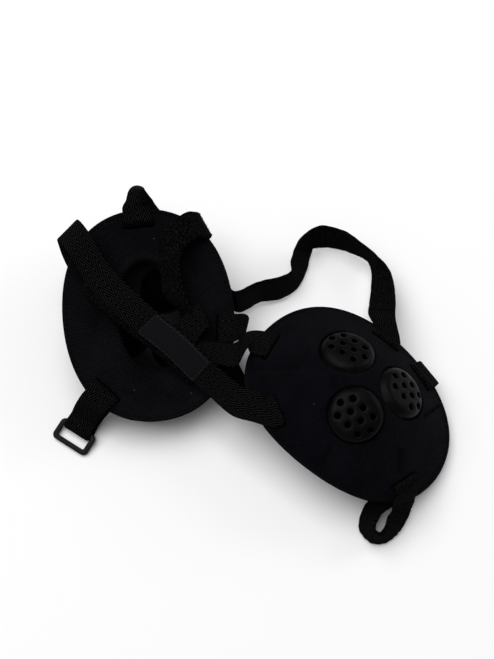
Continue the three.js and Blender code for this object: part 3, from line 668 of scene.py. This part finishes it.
def lip_stitches(cup):
    """Overlock stitches across the ear hole's lip, from the face over into the hole."""
    runs = []
    around = math.pi * (EAR_HOLE_LENGTH + EAR_HOLE_WIDTH) / 2
    number = int(around / LIP_STITCH)
    for i in range(number):
        angle = 2 * math.pi * i / number
        lean = 0.012 * math.sin(7.3 * i)
        turned = angle + lean * OVERLOCK_REACH / OVERLOCK_REACH[0]
        x = (EAR_HOLE_LENGTH / 2 + OVERLOCK_REACH) * np.cos(turned)
        y = (EAR_HOLE_WIDTH / 2 + OVERLOCK_REACH) * np.sin(turned)
        height = pad_face(cup, x, y) + OVERLOCK_LIFT
        runs.append(np.column_stack([x, y, height]))
    return lay_down(cup, np.array(runs))


def dart_stitches(cup):
    runs = []
    for dart in DARTS:
        start, way, length = dart_line(cup, dart)
        aside = np.array([-way[1], way[0]])
        for i in range(int(length / ZIGZAG * 2)):
            side = 1 if i % 2 else -1
            ends = np.array([
                start + way * ZIGZAG / 2 * i + aside * side * ZIGZAG_REACH,
                start + way * ZIGZAG / 2 * (i + 1) - aside * side * ZIGZAG_REACH,
            ])
            spots = ends[0] + np.linspace(0, 1, 5)[:, None] * (ends[1] - ends[0])
            x, y = spots.T
            runs.append(np.column_stack([x, y, cover_face(cup, x, y) + ZIGZAG_LIFT]))
    return lay_down(cup, np.array(runs))


for cup in CUPS:
    for place, runs in {
        "rim_stitches_inside": rim_stitches(cup, pad_face, -THREAD),
        "rim_stitches_outside": rim_stitches(cup, cover_face, THREAD),
        "ear_hole_overlock": lip_stitches(cup),
        "dart_stitches": dart_stitches(cup),
    }.items():
        sewn = sew(cup["name"] + "_" + place, runs, THREAD, black_thread)
        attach(sewn, "root")

# Straps: black herringbone webbing 18 mm wide, threaded through the cups' slots, with tapes of
# brushed loop pile sewn on some faces. They are limp, and lie in the folds they fell into.
STRAP_THICKNESS = 0.0013
STRAP_LIFT = 0.0005
LAYER_SHIFT = 0.0035
OUTER_SLOPE = 1.7
INNER_SLOPE = 2.2
SAMPLES_PER_STATION = 14
LEAVING = 0.005
NEAR_RIM = 0.009
TAIL = 0.016
# A strap's reach and its share of its lift off a face, as it dips into a slot
DIPPING = [(0.0022, 1.1), (0.0007, 0.6)]


def on_face(cup, place, face, reach, lift=1.0):
    """A place on a cup's face, by the place of a slot and a reach outward from it."""
    middle, along, outward = slot_frame(cup, place)
    at = middle + reach * outward
    x, y = middle + min(reach, SLOT_INSET) * outward
    rise = lift * (STRAP_LIFT + STRAP_THICKNESS / 2)
    share = rim_share(x, y)
    under = bend(cup, x, y) + BOWL_DEPTH * max(0, 1 - share ** 2) - COVER_WALL - GAP - PAD_EDGE
    height = {
        "outer": dome(cup, x, y) + OUTER_SLOPE * rise,
        "inner": under - INNER_SLOPE * rise,
        "middle": (dome(cup, x, y) + under) / 2,
    }[face]
    point = lay_down(cup, np.array([at[0], at[1], float(height)]))
    return point, cup_turn(cup) @ np.array([*along, 0])


def threaded(cup, slot, start_face, reaches_in, end_face, reaches_out):
    """A strap's places as it comes in on one face, goes through a slot and leaves on the other."""
    place = cup["slots"][slot]
    side_in, side_out = np.sign(reaches_in[-1]), np.sign(reaches_out[0])
    return [
        *[on_face(cup, place, start_face, reach) for reach in reaches_in],
        *[on_face(cup, place, start_face, reach * side_in, lift) for reach, lift in DIPPING],
        on_face(cup, place, "middle", 0),
        *[on_face(cup, place, end_face, reach * side_out, lift) for reach, lift in DIPPING[::-1]],
        *[on_face(cup, place, end_face, reach) for reach in reaches_out],
    ]


def in_the_open(cup, row, layer=0):
    """A place off the cups. A row is along and across the cup, in half lengths and half widths,
    up, in dome heights, and the level direction and the slope of the strap's width, in degrees."""
    along, across, up, facing, lean = row
    yaw, facing, lean = math.radians(cup["yaw"]), math.radians(facing), math.radians(lean)
    x, y = along * CUP_LENGTH / 2, across * CUP_WIDTH / 2
    level = np.array([math.cos(facing), math.sin(facing), 0])
    side = level * math.cos(lean) + np.array([0, 0, math.sin(lean)])
    under = level * math.sin(lean) - np.array([0, 0, math.cos(lean)])
    point = np.array([
        cup["middle"][0] + x * math.cos(yaw) - y * math.sin(yaw),
        cup["middle"][1] + x * math.sin(yaw) + y * math.cos(yaw),
        up * DOME_HEIGHT,
    ])
    point += under * layer * (STRAP_THICKNESS + STRAP_LIFT) - side * layer * LAYER_SHIFT
    return point, side


def open_run(cup, rows, layer=0):
    return [in_the_open(cup, row, layer) for row in rows]


def smooth_line(stations, shares):
    """Points of a centripetal spline through the stations, by share of their number."""
    knots = np.array([point for point, _ in stations])
    knots = np.vstack([2 * knots[0] - knots[1], knots, 2 * knots[-1] - knots[-2]])
    spots = np.clip(shares, 0, 1) * (len(stations) - 1)
    i = np.clip(np.floor(spots).astype(int), 0, len(stations) - 2)
    t = (spots - i)[:, None]
    p0, p1, p2, p3 = knots[i], knots[i + 1], knots[i + 2], knots[i + 3]
    d0, d1, d2 = [
        np.sqrt(np.linalg.norm(b - a, axis=1, keepdims=True))
        for a, b in ((p0, p1), (p1, p2), (p2, p3))
    ]
    m1 = ((p1 - p0) / d0 - (p2 - p0) / (d0 + d1) + (p2 - p1) / d1) * d1
    m2 = ((p2 - p1) / d1 - (p3 - p1) / (d1 + d2) + (p3 - p2) / d2) * d1
    return (
        (2 * t ** 3 - 3 * t ** 2 + 1) * p1 + (t ** 3 - 2 * t ** 2 + t) * m1
        + (3 * t ** 2 - 2 * t ** 3) * p2 + (t ** 3 - t ** 2) * m2
    )


def strap_frames(stations, shares):
    """A strap's middle line at some shares of it, with the ways across it and out of its face."""
    sides = []
    for _, side in stations:
        sides.append(-side if sides and np.dot(side, sides[-1]) < 0 else side)
    sides = np.array(sides)
    spots = np.clip(shares, 0, 1) * (len(stations) - 1)
    i = np.clip(np.floor(spots).astype(int), 0, len(stations) - 2)
    t = (spots - i)[:, None]
    side = sides[i] * (1 - t) + sides[i + 1] * t
    side /= np.linalg.norm(side, axis=1, keepdims=True)
    points = smooth_line(stations, shares)
    probe = 1e-4
    before = smooth_line(stations, np.maximum(shares - probe, 0))
    way = smooth_line(stations, np.minimum(shares + probe, 1)) - before
    way /= np.linalg.norm(way, axis=1, keepdims=True)
    out = np.cross(way, side)
    out /= np.linalg.norm(out, axis=1, keepdims=True)
    reach_down = np.abs(side[:, 2]) * STRAP_WIDTH / 2 + np.abs(out[:, 2]) * STRAP_THICKNESS / 2
    points[:, 2] = np.maximum(points[:, 2], reach_down)
    return points, side, out


def strap_length(points):
    return np.concatenate([[0], np.cumsum(np.linalg.norm(np.diff(points, axis=0), axis=1))])


ACROSS = np.array([-0.5, -0.492, -0.47, -0.42, -0.3, -0.15, 0, 0.15, 0.3, 0.42, 0.47, 0.492, 0.5])
EDGE_RIPPLE = 0.0001
BULGE = np.array([0.3, 0.62, 0.9, 1.0, 1.0, 0.98, 0.97, 0.98, 1.0, 1.0, 0.9, 0.62, 0.3])


COLUMN = 0.0045
FACE_APART = 12 * COLUMN


def add_strip(name, stations, shares, width, thickness, lift, material, narrowing=None):
    """A flat strip along a strap's line. UVs are metres across and along it, and the two faces
    are set apart by a whole number of the weave's columns."""
    points, side, out = strap_frames(stations, shares)
    reach = strap_length(points)
    narrow = np.ones(len(shares)) if narrowing is None else narrowing
    ripple = EDGE_RIPPLE * (1.2 * np.sin(reach * 420) + np.sin(reach * 900 + 1))
    section = [(a, b / 2) for a, b in zip(ACROSS, BULGE)]
    section += [(a, -b / 2) for a, b in zip(ACROSS[::-1], BULGE[::-1])]
    count, around = len(shares), len(section)
    vertices = np.zeros((count, around, 3))
    uv = np.zeros((count, around, 2))
    for k, (a, h) in enumerate(section):
        edge = (2 * abs(a)) ** 6
        offset = lift + h * thickness + np.sign(a) * edge * ripple
        vertices[:, k] = points + side * (a * width * narrow)[:, None] + out * offset[:, None]
        uv[:, k, 0] = a * width * narrow + (FACE_APART if h > 0 else -FACE_APART)
        uv[:, k, 1] = reach
    vertices, uv = vertices.reshape(-1, 3), uv.reshape(-1, 2)
    faces = []
    for row in range(count - 1):
        for k in range(around):
            a, b = row * around + k, row * around + (k + 1) % around
            faces.append((a, a + around, b + around, b))
    faces.append(tuple(range(around)))
    faces.append(tuple(reversed(range((count - 1) * around, count * around))))
    return add_mesh(name, vertices, faces, material, uv)


RIDGE_PITCH = 0.0039
RIDGE_SLANT = -2.75
RIDGE_WAVER = 0.0012
PICK = 0.0006


def herringbone_finish(name, dark, light):
    """Herringbone webbing: four columns of slanting ridges that meet in chevrons, with painted
    highlights on the ridges and painted shade in the furrows.
    """
    finish = Finish(name, 0.75, 0.008)
    across, along = finish.pattern_place()
    zigzag = finish.math("PINGPONG", finish.math("ADD", across, 2 * FACE_APART), COLUMN)
    slant = finish.math("MULTIPLY_ADD", zigzag, RIDGE_SLANT, along)
    place = finish.place()
    waver = finish.math("MULTIPLY", finish.noise(240, 2, place), RIDGE_WAVER)
    ridge = finish.between(finish.wave(finish.math("ADD", slant, waver), RIDGE_PITCH), -1.0, 1.0)
    picks = finish.wave(across, PICK)
    fuzz = finish.noise(1900, 3, place)
    # Painted highlight and shade: the ridges are coloured light and the furrows nearly black, over
    # the weave's pattern.
    tone = finish.math("MULTIPLY", finish.math("POWER", ridge, 2.4), finish.between(fuzz, 0.15, 0.65))
    finish.colour(finish.blend(tone, dark, light))
    height = finish.math("ADD", ridge, finish.math("MULTIPLY", picks, 0.15))
    woven = finish.relief(height, 0.0005)
    finish.surface(finish.relief(fuzz, 0.0002, woven))
    return finish.material


def pile_finish(name, dark, light):
    """Brushed loop pile: matted clumps of fine loops, with painted shade in the hollows between them.
    """
    finish = Finish(name, 0.9, 0.012, sheen=0.006)
    place = finish.place()
    clump = finish.noise(950, 2, place)
    loops = finish.noise(2400, 3, place)
    # Painted shade: the hollows between the clumps are coloured dark, the tops of the clumps light.
    clumps_and_shade = finish.math("POWER", finish.between(clump, 0.36, 0.66), 1.6)
    tone = finish.math("MULTIPLY", clumps_and_shade, finish.between(loops, 0.25, 0.6))
    finish.colour(finish.blend(tone, dark, light))
    finish.surface(finish.relief(loops, 0.0003, finish.relief(clump, 0.0006)))
    return finish.material


herringbone = herringbone_finish(
    "herringbone_webbing", (0.0001, 0.0001, 0.0001), (0.0165, 0.0166, 0.0162),
)
loop_pile = pile_finish("loop_pile", (0.0002, 0.0002, 0.0003), (0.0086, 0.0089, 0.0096))
pile_fibre = pile_finish("pile_fibres", (0.0005, 0.0005, 0.0006), (0.0066, 0.0068, 0.0074))
PILE_WIDTH = 0.0168
PILE_THICKNESS = 0.00045
PILE_PER_METRE = 12000
FIBRE_BREADTH = 0.00007
FIBRE_HEIGHT = (0.0002, 0.0007)
FIBRE_SPREAD = (0.0003, 0.0010)
TAPE_STITCH = 0.0027
TAPE_INSET = 0.0008
# The shape of one running stitch: each point's share of the pitch and its rise
STITCH_SHAPE = [(0.1, -0.0001), (0.3, 0.0002), (0.5, 0.00025), (0.7, 0.0002), (0.88, -0.0001)]
TAPE_THREAD = 0.00018
chance = np.random.default_rng(11)


def add_pile(name, stations, shares, face):
    """Short bent fibres that stand out of a pile tape and past its edges."""
    points, side, out = strap_frames(stations, shares)
    reach = strap_length(points)
    number = int(reach[-1] * PILE_PER_METRE)
    at = chance.uniform(0, reach[-1], number)
    across = chance.uniform(-0.5, 0.5, number) * PILE_WIDTH
    root = np.column_stack([np.interp(at, reach, points[:, k]) for k in range(3)])
    sides = np.column_stack([np.interp(at, reach, side[:, k]) for k in range(3)])
    outs = face * np.column_stack([np.interp(at, reach, out[:, k]) for k in range(3)])
    ways = np.cross(sides, outs)
    turn = chance.uniform(0, 2 * math.pi, number)[:, None]
    lean = sides * np.cos(turn) + ways * np.sin(turn)
    breadth = np.cross(outs, lean) * FIBRE_BREADTH
    tall = chance.uniform(*FIBRE_HEIGHT, number)[:, None]
    spread = chance.uniform(*FIBRE_SPREAD, number)[:, None]
    height = STRAP_THICKNESS / 2 + 0.9 * PILE_THICKNESS
    foot = root + sides * across[:, None] + outs * height
    knee = foot + outs * tall + lean * spread * 0.45
    tip = foot + outs * tall * 0.7 + lean * spread
    vertices = np.stack([foot - breadth, foot + breadth, knee - breadth, knee + breadth, tip], 1)
    base = 5 * np.arange(number)[:, None]
    faces = (base + np.array([[0, 1, 3, 2]])).tolist() + (base + np.array([[2, 3, 4]])).tolist()
    return add_mesh(name, vertices.reshape(-1, 3), faces, pile_fibre)


def edge_stitches(stations, shares, inset, width, lift, pitch, face=1):
    """Running stitches down both sides of a strip, and across both of its ends. The strip is on
    the face (1 or -1) of the strap's line, and lift is the height of its own face."""
    points, side, out = strap_frames(stations, np.linspace(shares[0], shares[-1], 400))
    reach = strap_length(points)

    def spot(at, across, rise):
        where, sideways, outward = [
            np.array([np.interp(at, reach, line[:, k]) for k in range(3)])
            for line in (points, side, out)
        ]
        return where + sideways * across + outward * face * (lift + rise)

    half = width / 2 - inset
    lines = []
    for across in (-half, half):
        lines += [(at, across, pitch, 0) for at in np.arange(inset, reach[-1] - inset - pitch, pitch)]
    for at in (inset, reach[-1] - inset):
        lines += [(at, across, 0, pitch) for across in np.arange(-half, half - pitch / 2, pitch)]
    runs = []
    for at, across, run, cross in lines:
        runs.append([
            spot(at + share * run, across + share * cross, rise)
            for share, rise in STITCH_SHAPE
        ])
    return np.array(runs)


def add_strap(name, stations, piles=()):
    """A strap of webbing. Piles are the tapes sewn on it: the face of its line that each is on
    (1 or -1), and the stations that it runs between."""
    steps = len(stations) - 1
    shares = np.linspace(0, 1, SAMPLES_PER_STATION * steps + 1)
    strap = add_strip(
        name + "_webbing", stations, shares, STRAP_WIDTH, STRAP_THICKNESS, 0, herringbone,
    )
    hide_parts(name)
    pieces = [strap]
    for face, first, last in piles:
        span = np.linspace(first, last, int(SAMPLES_PER_STATION * (last - first))) / steps
        lift = (STRAP_THICKNESS + PILE_THICKNESS) / 2
        tape = add_strip(
            name + "_pile_tape", stations, span, PILE_WIDTH, PILE_THICKNESS, face * lift, loop_pile,
        )
        runs = edge_stitches(
            stations, span, TAPE_INSET, PILE_WIDTH, lift + PILE_THICKNESS / 2, TAPE_STITCH, face,
        )
        pieces += [
            tape,
            add_pile(name + "_pile", stations, span, face),
            sew(name + "_pile_stitches", runs, TAPE_THREAD, black_thread),
        ]
    for piece in pieces:
        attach(piece, "root")


# The forehead strap lies across the left cup, folds under its rim and comes up through the slot,
# and its free end lies under itself.
FOREHEAD_FROM_RIGHT = [
    (-0.54, -0.81, 1.42, 78, 26),
    (-0.7, -0.87, 1.29, 60, 30),
]
FOREHEAD_OVER_LEFT = [
    (0.82, 0.72, 1.22, 40, 40),
    (0.63, 0.51, 1.27, 36, 38),
    (0.39, 0.27, 1.36, 33, 33),
    (0.16, -0.01, 1.45, 35, 28),
    (-0.05, -0.25, 1.54, 40, 20),
    (-0.36, -0.54, 1.7, 42, 14),
]
FOREHEAD_FOLD = [
    (-0.64, -0.71, 1.95, 45, 14),
    (-0.84, -0.84, 1.7, 45, 14),
]
forehead = [
    *threaded(RIGHT, "forehead", "inner", [-TAIL, -LEAVING], "outer", [LEAVING]),
    *open_run(RIGHT, FOREHEAD_FROM_RIGHT),
    *open_run(LEFT, FOREHEAD_OVER_LEFT + FOREHEAD_FOLD),
    *threaded(LEFT, "forehead", "outer", [NEAR_RIM, LEAVING], "inner", [-LEAVING]),
    *open_run(LEFT, FOREHEAD_OVER_LEFT[1:][::-1], layer=1),
]
add_strap("forehead_strap", forehead, [(-1, 17, 30)])

# The crown strap stands up in a twist behind the left cup, comes back over its rim as a soft
# band, folds twice across its bowl and runs over to the right cup.
CROWN_OVER_LEFT = [
    (-0.99, 0.02, 2.07, -12, 27),
    (-1.07, 0.03, 2.18, -45, 42),
    (-1.11, 0.08, 1.96, -75, 35),
    (-1.07, 0.12, 1.57, -85, 5),
    (-0.97, 0.2, 1.28, -90, -30),
    (-0.79, 0.34, 1.22, -95, -42),
    (-0.72, 0.5, 1.12, -100, -42),
    (-0.81, 0.74, 1.32, -60, -20),
    (-0.75, 0.76, 1.64, -58, -20),
    (-0.7, 0.7, 1.86, -64, -22),
    (-0.68, 0.62, 1.95, -66, -18),
    (-0.63, 0.49, 1.93, -64, -12),
    (-0.55, 0.37, 1.77, -45, 0),
    (-0.47, 0.31, 1.61, -33, 26),
    (-0.31, 0.3, 1.48, -24, 40),
    (-0.12, 0.32, 1.36, -20, 34),
    (0.03, 0.42, 1.28, -40, 12),
    (0.11, 0.58, 1.25, -64, 0),
    (0.11, 0.63, 1.29, -67, 0),
    (0.13, 0.58, 1.33, -64, 0),
    (0.25, 0.4, 1.21, -55, 0),
    (0.33, 0.28, 1.12, -75, 0),
    (0.34, 0.23, 1.08, -78, 0),
    (0.35, 0.28, 1.04, -78, 0),
    (0.43, 0.53, 1.12, -75, 5),
    (0.48, 0.72, 1.21, -77, 13),
    (0.53, 0.93, 1.32, -88, 13),
]
CROWN_TO_RIGHT = [(-1.02, -0.24, 1.36, -86, 34)]
crown = [
    *threaded(LEFT, "crown", "outer", [-TAIL, -LEAVING], "inner", [LEAVING, SLOT_INSET]),
    *open_run(LEFT, CROWN_OVER_LEFT),
    *open_run(RIGHT, CROWN_TO_RIGHT),
    *threaded(RIGHT, "crown", "outer", [NEAR_RIM, LEAVING], "inner", [-LEAVING, -TAIL]),
]
add_strap("crown_strap", crown, [(1, 10, 25.6)])

# The upper back strap leaves the left cup's dome side, lies on its edge, arches and comes down to
# the right cup. A tab of hook tape is sewn to its inner face.
BACK_HIGH_ARCH = [
    (-1.45, 0.21, 0.64, -73, -69),
    (-1.37, 0.55, 0.43, -88, -73),
    (-1.25, 0.78, 0.36, -76, -66),
    (-1.21, 0.98, 0.34, -20, -72),
    (-1.27, 1.16, 0.34, 10, -51),
    (-1.34, 1.36, 0.36, 20, -45),
    (-1.36, 1.49, 0.39, 1, -66),
    (-1.3, 1.64, 0.43, -83, -66),
    (-1.12, 1.77, 0.43, -111, -77),
    (-0.89, 1.81, 0.43, 107, -81),
    (-0.76, 1.8, 0.43, 119, -68),
    (-0.62, 1.71, 0.46, 144, -45),
    (-0.49, 1.51, 0.57, 157, -35),
    (-0.37, 1.27, 0.77, 165, -26),
    (-0.28, 1.08, 0.96, 160, -18),
]
BACK_HIGH_SEAM = (104, 0)
back_high = [
    *[on_face(LEFT, BACK_HIGH_SEAM, "outer", reach) for reach in (-0.002, 0.007)],
    *open_run(RIGHT, BACK_HIGH_ARCH),
    *threaded(RIGHT, "back_high", "outer", [LEAVING], "inner", [-LEAVING, -TAIL]),
]
add_strap("back_strap_upper", back_high, [(-1, 7, 15.6)])

# The lower back strap turns down between the cups, lies flat on the table under the right one and
# comes up round its far rim.
BACK_LOW_DROP = [
    (0.23, 1.08, 1.11, -101, 10),
    (0.26, 1.06, 0.75, -101, 10),
]
BACK_LOW_UNDER = [
    (-1.08, -0.44, 0.28, -125, 20),
    (-0.94, -0.52, 0.11, -125, 12),
    (-0.78, -0.5, 0, -110, 0),
    (-0.5, -0.35, 0, -95, 0),
    (-0.1, 0.1, 0, -83, 0),
    (0.15, 0.5, 0, -72, 0),
]
back_low = [
    *threaded(LEFT, "back_low", "outer", [-0.007, -LEAVING], "inner", [LEAVING, NEAR_RIM]),
    *open_run(LEFT, BACK_LOW_DROP),
    *open_run(RIGHT, BACK_LOW_UNDER),
    on_face(RIGHT, RIGHT["slots"]["back_low"], "inner", NEAR_RIM),
    on_face(RIGHT, RIGHT["slots"]["back_low"], "middle", 0.013),
    *threaded(RIGHT, "back_low", "outer", [NEAR_RIM, LEAVING], "inner", [-LEAVING, -TAIL]),
]
add_strap("back_strap_lower", back_low)

# The chin loop of the right cup stands on its edge and goes back under the rim.
CHIN_LOOP = [
    (0.71, -0.69, 0.36, 136, -45),
    (0.71, -0.82, 0.32, 144, -54),
    (0.76, -0.96, 0.32, 157, -64),
    (0.84, -0.99, 0.32, -143, -83),
    (0.9, -0.94, 0.32, -11, -77),
    (0.92, -0.81, 0.34, 8, -56),
    (0.9, -0.66, 0.46, 16, -38),
    (0.89, -0.59, 0.46, 22, -39),
    (0.86, -0.5, 0.87, 30, -16),
]
chin_right = [
    on_face(RIGHT, RIGHT["slots"]["chin"], "inner", 0.007, 1.7),
    *open_run(RIGHT, CHIN_LOOP),
    *threaded(RIGHT, "chin", "outer", [LEAVING], "inner", [-LEAVING, -TAIL]),
]
add_strap("chin_strap_right", chin_right, [(1, 0, 8.5)])

# Chin ring: a rounded oblong ring moulded in black plastic. It lies on its far bar, and its near
# bar is raised by the strap that is passed round it.
RING_WIRE = 0.0032
RING_DEPTH = 0.0026
RING_CORNER = 0.0034
RING_SLACK = 0.0006
RING_OPEN = 0.0079
RING_PLACE = (0.91, -1.01, 0, -32.7, 0)
BAR_WRAP = math.hypot(RING_WIRE, RING_DEPTH) / 2 + STRAP_LIFT + STRAP_THICKNESS / 2
BAR_HEIGHT = BAR_WRAP + STRAP_THICKNESS / 2
BAR_SPACING = RING_OPEN + RING_WIRE
BAR_LEAVING = 0.003
ring_tilt = math.asin((BAR_HEIGHT - RING_DEPTH / 2) / BAR_SPACING)
ring_turn = np.array(
    Matrix.Rotation(math.radians(RING_PLACE[3]), 3, "Z") @ Matrix.Rotation(ring_tilt, 3, "X")
)
ring_middle, _ = in_the_open(LEFT, RING_PLACE)
ring_middle[2] = (BAR_HEIGHT + RING_DEPTH / 2) / 2 + RING_WIRE / 2 * math.sin(ring_tilt)


def rounded_oblong(length, width, corner, steps=10):
    loop = []
    for quarter, (x, y) in enumerate([(1, 1), (-1, 1), (-1, -1), (1, -1)]):
        angle = (quarter + np.linspace(0, 1, steps)) * math.pi / 2
        middle = np.array([x * (length / 2 - corner), y * (width / 2 - corner)])
        loop.append(middle + corner * np.column_stack([np.cos(angle), np.sin(angle)]))
    return np.concatenate(loop)


opening_length = STRAP_WIDTH + 2 * RING_SLACK
inner = rounded_oblong(opening_length, RING_OPEN, RING_CORNER / 3)
outer = rounded_oblong(opening_length + 2 * RING_WIRE, RING_OPEN + 2 * RING_WIRE, RING_CORNER)
angle = np.linspace(0, 2 * math.pi, 20, endpoint=False)
around = np.sign(np.cos(angle)) * np.abs(np.cos(angle)) ** 0.6
through = np.sign(np.sin(angle)) * np.abs(np.sin(angle)) ** 0.6
ring_points = []
for across, height in zip(0.5 - around / 2, through * RING_DEPTH / 2):
    ring_points.append(with_height(outer + across * (inner - outer), np.full(len(inner), height)))
ring_points = np.stack(ring_points, 1)
corners, sides = ring_points.shape[:2]
ring_faces = [
    (i * sides + k, (i + 1) % corners * sides + k,
     (i + 1) % corners * sides + (k + 1) % sides, i * sides + (k + 1) % sides)
    for i in range(corners) for k in range(sides)
]
ring_plastic = moulded_plastic(
    "ring_plastic", (0.0036, 0.0039, 0.0030), (0.0068, 0.0072, 0.0056), 0.42, 0.06,
)
chin_ring = add_mesh(
    "chin_ring_moulding", ring_points.reshape(-1, 3) @ ring_turn.T + ring_middle,
    ring_faces, ring_plastic,
)
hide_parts("chin_ring")
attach(chin_ring, "root")


def round_the_bar(reach, rise):
    """A place of the strap round the ring's near bar, by a reach toward the cup and a rise."""
    point = ring_turn @ np.array([0, BAR_SPACING / 2 + reach, rise]) + ring_middle
    facing = math.radians(RING_PLACE[3])
    return point, np.array([math.cos(facing), math.sin(facing), 0])


# The left chin strap hangs from its slot to the ring, in a loop that is sewn shut under the rim.
chin_left = [
    *threaded(LEFT, "chin", "outer", [-0.014, -LEAVING], "inner", [LEAVING, SLOT_INSET]),
    in_the_open(LEFT, (0.76, -0.81, 0.57, -32, 0)),
    round_the_bar(BAR_WRAP + BAR_LEAVING, BAR_WRAP),
    round_the_bar(0, BAR_WRAP),
    round_the_bar(-BAR_WRAP, 0),
    round_the_bar(0, -BAR_WRAP),
    round_the_bar(BAR_WRAP + BAR_LEAVING, -BAR_WRAP + 0.001),
    in_the_open(LEFT, (0.74, -0.78, 0.36, -32, 0)),
    on_face(LEFT, LEFT["slots"]["chin"], "outer", 0.007),
]
add_strap("chin_strap_left", chin_left)
TACK_STATIONS = [8.7, 9.9]
TACK_INSET = 0.0015
TACK_THREAD = 0.0002
tack_shares = np.array(TACK_STATIONS) / (len(chin_left) - 1)
runs = edge_stitches(
    chin_left, tack_shares, TACK_INSET, STRAP_WIDTH, STRAP_THICKNESS / 2, TAPE_STITCH, -1,
)
tack = sew("chin_strap_left_tack", runs, TACK_THREAD, black_thread)
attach(tack, "root")

# Name patch: a strip of navy satin, left bare, sewn along the forehead strap with a light running
# stitch down each side.
PATCH_LENGTH = 0.046
PATCH_WIDTH = 0.017
PATCH_THICKNESS = 0.0007
PATCH_STATION = 12
PATCH_STITCH = 0.0026
PATCH_INSET = 0.0009
PATCH_THREAD = 0.00016
SATIN_FLOAT = 0.0005
SATIN_PICK = 0.0009


def stretch_around(stations, station, length, samples):
    """The shares of a strap's line over a length of it that is centred on a station."""
    every = np.linspace(0, 1, 1201)
    reach = strap_length(smooth_line(stations, every))
    middle = np.interp(station / (len(stations) - 1), every, reach)
    return np.interp(middle + np.linspace(-length / 2, length / 2, samples), reach, every)


def satin_finish(name, dark, light):
    """Satin weave: long floats across the strip that shine in bands."""
    finish = Finish(name, 0.5, 0.06)
    across, along = finish.pattern_place()
    picks = finish.math("MULTIPLY", finish.wave(across, SATIN_PICK), 0.4)
    woven = finish.math("ADD", finish.wave(along, SATIN_FLOAT), picks)
    fuzz = finish.noise(1500, 3, finish.place())
    tone = finish.math("MULTIPLY", finish.between(woven, -1.4, 1.4), fuzz)
    finish.colour(finish.blend(tone, dark, light))
    finish.surface(finish.relief(fuzz, 0.0001, finish.relief(woven, 0.00007)))
    return finish.material


satin = satin_finish("patch_satin", (0.0022, 0.0023, 0.0031), (0.0082, 0.0085, 0.0104))
patch_lift = STRAP_THICKNESS / 2 + PATCH_THICKNESS / 2
patch_shares = stretch_around(forehead, PATCH_STATION, PATCH_LENGTH, 80)
patch = add_strip(
    "name_patch_satin", forehead, patch_shares, PATCH_WIDTH, PATCH_THICKNESS, patch_lift,
    satin,
)
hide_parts("name_patch")
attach(patch, "root")


pale_thread = thread_finish("pale_thread", (0.014, 0.015, 0.017), (0.04, 0.041, 0.045))
patch_top = patch_lift + PATCH_THICKNESS / 2
runs = edge_stitches(forehead, patch_shares, PATCH_INSET, PATCH_WIDTH, patch_top, PATCH_STITCH)
sewn = sew("name_patch_stitches", runs, PATCH_THREAD, pale_thread)
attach(sewn, "root")

# Hook tab: stiff hook tape with a rounded end on the upper back strap, covered with rows of tiny
# hooks that give it a greenish, matt look.
TAB_LENGTH = 0.040
TAB_THICKNESS = 0.0009
TAB_STATION = 3
TAB_CLEARANCE = 0.0001
HOOK_PITCH = 0.0011


def hook_finish(name, dark, light):
    finish = Finish(name, 0.65, 0.025)
    rows = [finish.wave(axis, HOOK_PITCH) for axis in finish.pattern_place()]
    hooks = finish.math("MAXIMUM", finish.math("MULTIPLY", rows[0], rows[1]), 0.0)
    finish.colour(finish.blend(hooks, dark, light))
    finish.surface(finish.relief(hooks, 0.0005))
    return finish.material


hook_tape = hook_finish("hook_tape", (0.0006, 0.0009, 0.0007), (0.0030, 0.0040, 0.0034))
tab_shares = stretch_around(back_high, TAB_STATION, TAB_LENGTH, 90)
run = np.linspace(0, TAB_LENGTH, 90)
from_end = np.minimum(TAB_LENGTH - run, PATCH_WIDTH / 2) / (PATCH_WIDTH / 2)
rounding = np.sqrt(np.maximum(1 - (1 - from_end) ** 2, 0.01)) ** 0.6
tab = add_strip(
    "hook_tab_tape", back_high, tab_shares, PATCH_WIDTH, TAB_THICKNESS,
    -(STRAP_THICKNESS / 2 + TAB_THICKNESS / 2 + TAB_CLEARANCE), hook_tape, rounding,
)
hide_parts("hook_tab")
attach(tab, "root")

# Table: a plain, very pale floor.
pale = Finish("pale_floor", 0.9, 0.1)
pale.colour((0.86, 0.86, 0.865, 1))
corners = [(-4, -4, 0), (4, -4, 0), (4, 4, 0), (-4, 4, 0)]
floor = add_mesh("floor", corners, [(0, 1, 2, 3)], pale.material)
floor.location.z = -0.0002

# Studio light: a white room, with a large soft box overhead and a small, weak one from the right.
world = bpy.data.worlds.new("studio")
bpy.context.scene.world = world
world.use_nodes = True
world.node_tree.nodes["Background"].inputs[0].default_value = (1, 1, 1, 1)
world.node_tree.nodes["Background"].inputs[1].default_value = 0.28


def soft_box(name, place, size, power):
    light = bpy.data.lights.new(name, "AREA")
    light.shape = "SQUARE"
    light.size = size
    light.energy = power
    box = bpy.data.objects.new(name, light)
    bpy.context.scene.collection.objects.link(box)
    box.location = place
    box.rotation_euler = (-Vector(place)).to_track_quat("-Z", "Y").to_euler()
    return box


soft_box("overhead_box", (-0.7, 0.35, 2.2), 2.5, 64)
soft_box("right_box", (1.3, 0.5, 0.7), 0.6, 4)

# Camera: from the viewer's side, 63 degrees above the table.
AIM = Vector((-0.0019, 0.0312, 0))
ELEVATION = math.radians(63)
DISTANCE = 0.650
camera_data = bpy.data.cameras.new("camera")
camera_data.lens = 54.6
camera = bpy.data.objects.new("camera", camera_data)
bpy.context.scene.collection.objects.link(camera)
camera.location = AIM + DISTANCE * Vector((0, -math.cos(ELEVATION), math.sin(ELEVATION)))
camera.rotation_euler = (math.pi / 2 - ELEVATION, 0, 0)
bpy.context.scene.camera = camera
bpy.context.scene.view_settings.view_transform = "Standard"

bpy.context.view_layer.update()
